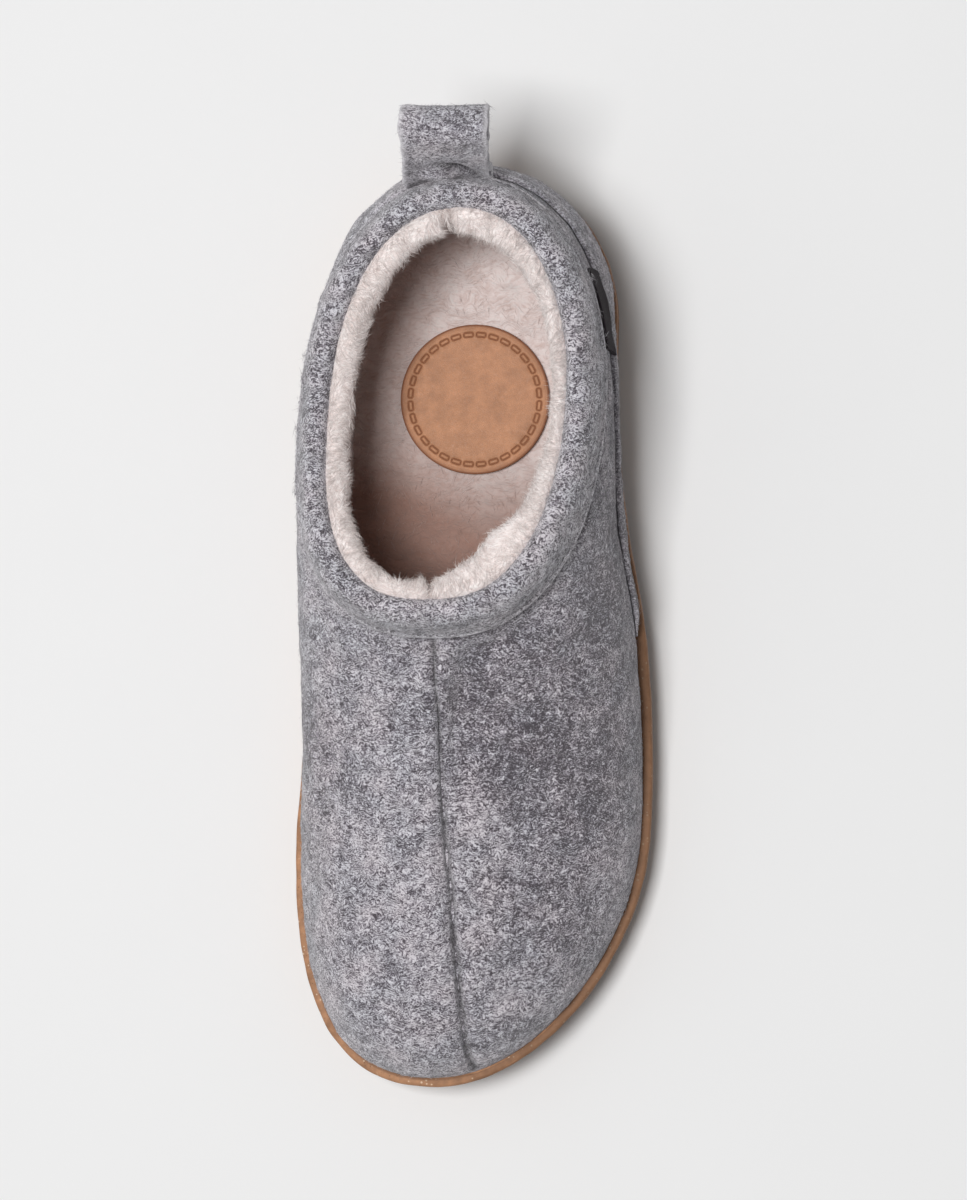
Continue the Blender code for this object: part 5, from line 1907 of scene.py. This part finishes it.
class SLIPPER_OT_hairs(bpy.types.Operator):
    """Make the loose hairs of the felt"""

    bl_idname = "slipper.make_hairs"
    bl_label = "Felt hairs"

    def execute(self, context):
        felt = context.scene.slipper_felt
        rng = np.random.default_rng(HAIR_SEED)
        material = hair_material("felt_hair", HAIR_ROUGHNESS, tinted(felt.dark, HAIR_DARK),
                                 tuple(felt.light))
        for name, part, groups in HAIR_PIECES:
            found = [self.roots(SURFACES[key], wrap, int(felt.hair_count * part * share),
                                felt.pills if pilled else 0, rng)
                     for key, wrap, share, pilled in groups]
            roots, normals, down = (np.concatenate(group) for group in zip(*found))
            towards = np.sum(normals * (roots - np.array(INSIDE_SPOT)), axis=-1)
            normals = normals * np.where(towards < 0, -1.0, 1.0)[:, None]
            count = len(roots)
            across = unit(np.cross(normals, down))
            turn = rng.uniform(0, 2 * math.pi, (count, 1))
            flat = down * np.cos(turn) + across * np.sin(turn)
            stand = HAIR_STAND + rng.uniform(*HAIR_LIFT, (count, 1)) ** HAIR_LIFT_POWER
            heading = unit(flat + normals * stand)
            bend = np.cross(normals, flat) * rng.normal(0, HAIR_BEND, (count, 1))
            bend = bend - normals * rng.uniform(0.0, HAIR_DROOP, (count, 1))
            length = felt.hair_length * rng.uniform(*HAIR_LENGTHS, count)
            radius = felt.hair_radius * rng.uniform(*HAIR_RADII, count)
            points, faces, size = hairs(roots - normals * HAIR_ROOT, heading, bend, length,
                                        radius, 1)
            tone = np.repeat(rng.beta(*HAIR_TONE, count), size)
            make_piece(name, points, [faces], material, (), {"tone": tone})
        return {'FINISHED'}

    def roots(self, surface, wrap, count, pills, rng):
        """Where hairs grow: anywhere, or crowded into small pills."""
        if not pills:
            return scatter(surface, wrap, count, rng)
        roots, normals, down = scatter(surface, wrap, pills, rng)
        pick = rng.integers(0, pills, count)
        spread = rng.normal(0, PILL_RADIUS, (count, 3)) + normals[pick] * PILL_LIFT
        return roots[pick] + spread, normals[pick], down[pick]


# Strands of the pile: where the roll starts up the lining, the rows at its lip and the lowest
# row with strands, the side that they face, their swirls, and the spread of their lift, bend,
# length and tone, with painted shade on them towards the toe and the footbed
STRAND_SEED = 202
STRAND_STATIONS = 2
ROLL_START = 0.52
LIP_ROWS = 11
WALL_FIRST_ROW = 4
ABOVE_CENTRE = (0.0, 0.0, 0.012)
INWARDS_WEIGHT = (1.0, 1.0, 0.3)
SWIRL_WAVES = ((0.9, 0.013, 203),)
SWIRL = 0.35
STRAND_LIFT = (0.15, 0.75)
STRAND_BEND = (0.0, 0.5)
STRAND_DROOP = 0.35
STRAND_LENGTHS = (0.5, 1.25)
STRAND_ROOT = 0.15 * MM
STRAND_TONE = (0.55, 1.0)
STRAND_TOE_SHADE = 0.075
STRAND_DEPTH_SHADE = 0.55
STRAND_SHADE = 0.75
STRAND_LIGHT = 1.08
DISC_MARGIN = 1.2 * MM


class SLIPPER_OT_strands(bpy.types.Operator):
    """Make the strands of the fleece pile"""

    bl_idname = "slipper.make_strands"
    bl_label = "Fleece strands"

    def execute(self, context):
        fleece = context.scene.slipper_fleece
        rng = np.random.default_rng(STRAND_SEED)
        lining = SURFACES["lining"]
        rows = len(lining)
        split = int(rows * ROLL_START)
        inside = fleece.inside_count // 2
        groups = (
            ("fleece_roll_strands", lining[split:rows - 1], fleece.hair_count, 1.0),
            ("fleece_lip_strands", lining[rows - LIP_ROWS:rows - 1], fleece.hair_count // 4, 0.8),
            ("fleece_wall_strands", lining[WALL_FIRST_ROW:split], inside, 1.0),
            ("footbed_strands", SURFACES["footbed"], inside, 0.9),
        )
        for name, surface, number, scale in groups:
            on_footbed = name == "footbed_strands"
            roots, normals, down = scatter(surface, not on_footbed, number, rng)
            if on_footbed:
                normals = normals * np.sign(normals[:, 2:3])
            else:
                centre = surface.reshape(-1, 3).mean(axis=0)
                inwards = (centre + np.array(ABOVE_CENTRE) - roots) * np.array(INWARDS_WEIGHT)
                normals = normals * np.sign(np.mean(np.sum(normals * inwards, axis=-1)))
            across = unit(np.cross(normals, down))
            swirl = uneven(roots, SWIRL_WAVES)[:, None] + rng.normal(0, SWIRL, (number, 1))
            combed = -down * np.cos(swirl) + across * np.sin(swirl)
            heading = unit(normals * rng.uniform(*STRAND_LIFT, (number, 1)) + combed)
            bend = combed * rng.uniform(*STRAND_BEND, (number, 1)) - normals * STRAND_DROOP
            length = fleece.hair_length * scale * rng.uniform(*STRAND_LENGTHS, number)
            radius = fleece.hair_radius * rng.uniform(*HAIR_RADII, number)
            roots = roots - normals * STRAND_ROOT
            if on_footbed:
                keep = from_disc(roots) > DISC_RADIUS + DISC_MARGIN
                roots, heading, bend, length, radius = (
                    values[keep] for values in (roots, heading, bend, length, radius))
            points, faces, size = hairs(roots, heading, bend, length, radius, STRAND_STATIONS)
            tone = np.repeat(rng.uniform(*STRAND_TONE, len(roots)), size)
            # Painted shade: strands darken low inside the shoe and towards the toe
            toe = toe_share(points, STRAND_TOE_SHADE if on_footbed else LINING_TOE_SHADE)
            shaded = np.clip(shade_by_depth(points) * STRAND_DEPTH_SHADE + toe, 0.0, 1.0)
            tone = tone * (1 - STRAND_SHADE * shaded)
            material = hair_material(name, HAIR_ROUGHNESS, tuple(fleece.deep),
                                     tinted(fleece.light, STRAND_LIGHT))
            make_piece(name, points, [faces], material, (), {"tone": tone})
        return {'FINISHED'}


class SLIPPER_OT_stage(bpy.types.Operator):
    """Make the pale floor, the soft light and the camera"""

    bl_idname = "slipper.make_stage"
    bl_label = "Floor, light and camera"

    def execute(self, context):
        stage = context.scene.slipper_stage
        scene = context.scene
        shades = Shades("pale_floor", 0.9, 0.1)
        dust = shades.noise(shades.place(), 0.02, 2.0)
        colour = shades.ramp(dust, ((0.3, tinted(stage.floor, 1 - FLOOR_DUST)),
                                    (0.7, tinted(stage.floor, 1 + FLOOR_DUST))))
        mesh = bpy.data.meshes.new("floor")
        corners = [(x * FLOOR_REACH, y * FLOOR_REACH, 0)
                   for x, y in ((-1, -1), (1, -1), (1, 1), (-1, 1))]
        mesh.from_pydata(corners, [], [(0, 1, 2, 3)])
        mesh.materials.append(shades.finish(colour))
        floor = bpy.data.objects.new("floor", mesh)
        scene.collection.objects.link(floor)
        scene.view_settings.view_transform = 'Standard'
        world = bpy.data.worlds.new("soft_sky")
        world.use_nodes = True
        world.node_tree.nodes["Background"].inputs["Color"].default_value = (1.0, 1.0, 1.0, 1.0)
        world.node_tree.nodes["Background"].inputs["Strength"].default_value = stage.sky
        scene.world = world
        aim = Vector(LIGHT_AIM)
        for name, direction, distance, width, power in LIGHTS:
            lamp = bpy.data.lights.new(name, 'AREA')
            lamp.energy = power * stage.light
            lamp.size = width
            light = bpy.data.objects.new(name, lamp)
            scene.collection.objects.link(light)
            away = Vector(direction).normalized()
            light.location = aim + away * distance
            light.rotation_mode = 'QUATERNION'
            light.rotation_quaternion = (-away).to_track_quat('-Z', 'Y')
        self.make_camera(scene)
        return {'FINISHED'}

    def make_camera(self, scene):
        """The photograph's eye point, turned to the one shoe, with a longer lens."""
        right = Vector((math.cos(CAMERA_TILT), 0.0, -math.sin(CAMERA_TILT)))
        back = Vector((math.sin(CAMERA_TILT), 0.0, math.cos(CAMERA_TILT)))
        up = Vector((0.0, 1.0, 0.0))
        aim = Vector(((PHOTO_WIDTH / 2 - PHOTO_ORIGIN_X) * PHOTO_SCALE,
                      HEEL_END_Y - (PHOTO_HEIGHT / 2 - PHOTO_HEEL_Y) * PHOTO_SCALE, PHOTO_LEVEL))
        eye = aim + back * CAMERA_DISTANCE
        lens_pixels = CAMERA_DISTANCE / PHOTO_SCALE
        ray = (right * (SHOE_MIDDLE_X - PHOTO_WIDTH / 2) - up * (SHOE_MIDDLE_Y - PHOTO_HEIGHT / 2)
               - back * lens_pixels).normalized()
        side = ray.cross(up).normalized()
        data = bpy.data.cameras.new("camera")
        data.sensor_width = SENSOR
        data.lens = SENSOR * lens_pixels / PHOTO_HEIGHT * SHOE_ZOOM
        data.clip_start = CLIP_START
        data.clip_end = CLIP_END
        camera = bpy.data.objects.new("camera", data)
        turn = Matrix((side, side.cross(ray), -ray)).transposed()
        camera.matrix_world = Matrix.Translation(eye) @ turn.to_4x4()
        scene.collection.objects.link(camera)
        scene.camera = camera


GROUPS = (
    ("slipper_felt", SlipperFelt),
    ("slipper_fleece", SlipperFleece),
    ("slipper_sole", SlipperSole),
    ("slipper_trim", SlipperTrim),
    ("slipper_stage", SlipperStage),
)
OPERATORS = (
    SLIPPER_OT_stage, SLIPPER_OT_sole, SLIPPER_OT_footbed, SLIPPER_OT_disc, SLIPPER_OT_upper,
    SLIPPER_OT_counter, SLIPPER_OT_collar, SLIPPER_OT_lining, SLIPPER_OT_loop, SLIPPER_OT_tab,
    SLIPPER_OT_hairs, SLIPPER_OT_strands,
)


class SLIPPER_PT_panel(bpy.types.Panel):
    """Lists the slipper's pieces and their sizes and colours"""

    bl_idname = "SLIPPER_PT_panel"
    bl_label = "Felt Slipper"
    bl_space_type = 'VIEW_3D'
    bl_region_type = 'UI'
    bl_category = "Slipper"

    def draw(self, context):
        for operator in OPERATORS:
            self.layout.operator(operator.bl_idname)
        for key, group in GROUPS:
            box = self.layout.box()
            box.label(text=group.__doc__)
            for name in group.__annotations__:
                box.prop(getattr(context.scene, key), name)


def register():
    """Adds the classes and the scene's settings."""
    for _, group in GROUPS:
        bpy.utils.register_class(group)
    for operator in OPERATORS:
        bpy.utils.register_class(operator)
    bpy.utils.register_class(SLIPPER_PT_panel)
    for key, group in GROUPS:
        setattr(bpy.types.Scene, key, PointerProperty(type=group))


def unregister():
    """Takes them away again."""
    for key, _ in GROUPS:
        delattr(bpy.types.Scene, key)
    bpy.utils.unregister_class(SLIPPER_PT_panel)
    for operator in reversed(OPERATORS):
        bpy.utils.unregister_class(operator)
    for _, group in reversed(GROUPS):
        bpy.utils.unregister_class(group)


def main():
    """Makes every piece in order."""
    register()
    bpy.ops.slipper.make_stage()
    bpy.ops.slipper.make_sole()
    bpy.ops.slipper.make_footbed()
    bpy.ops.slipper.make_disc()
    bpy.ops.slipper.make_upper()
    bpy.ops.slipper.make_counter()
    bpy.ops.slipper.make_collar()
    bpy.ops.slipper.make_lining()
    bpy.ops.slipper.make_loop()
    bpy.ops.slipper.make_tab()
    bpy.ops.slipper.make_hairs()
    bpy.ops.slipper.make_strands()


if __name__ == "__main__":
    main()
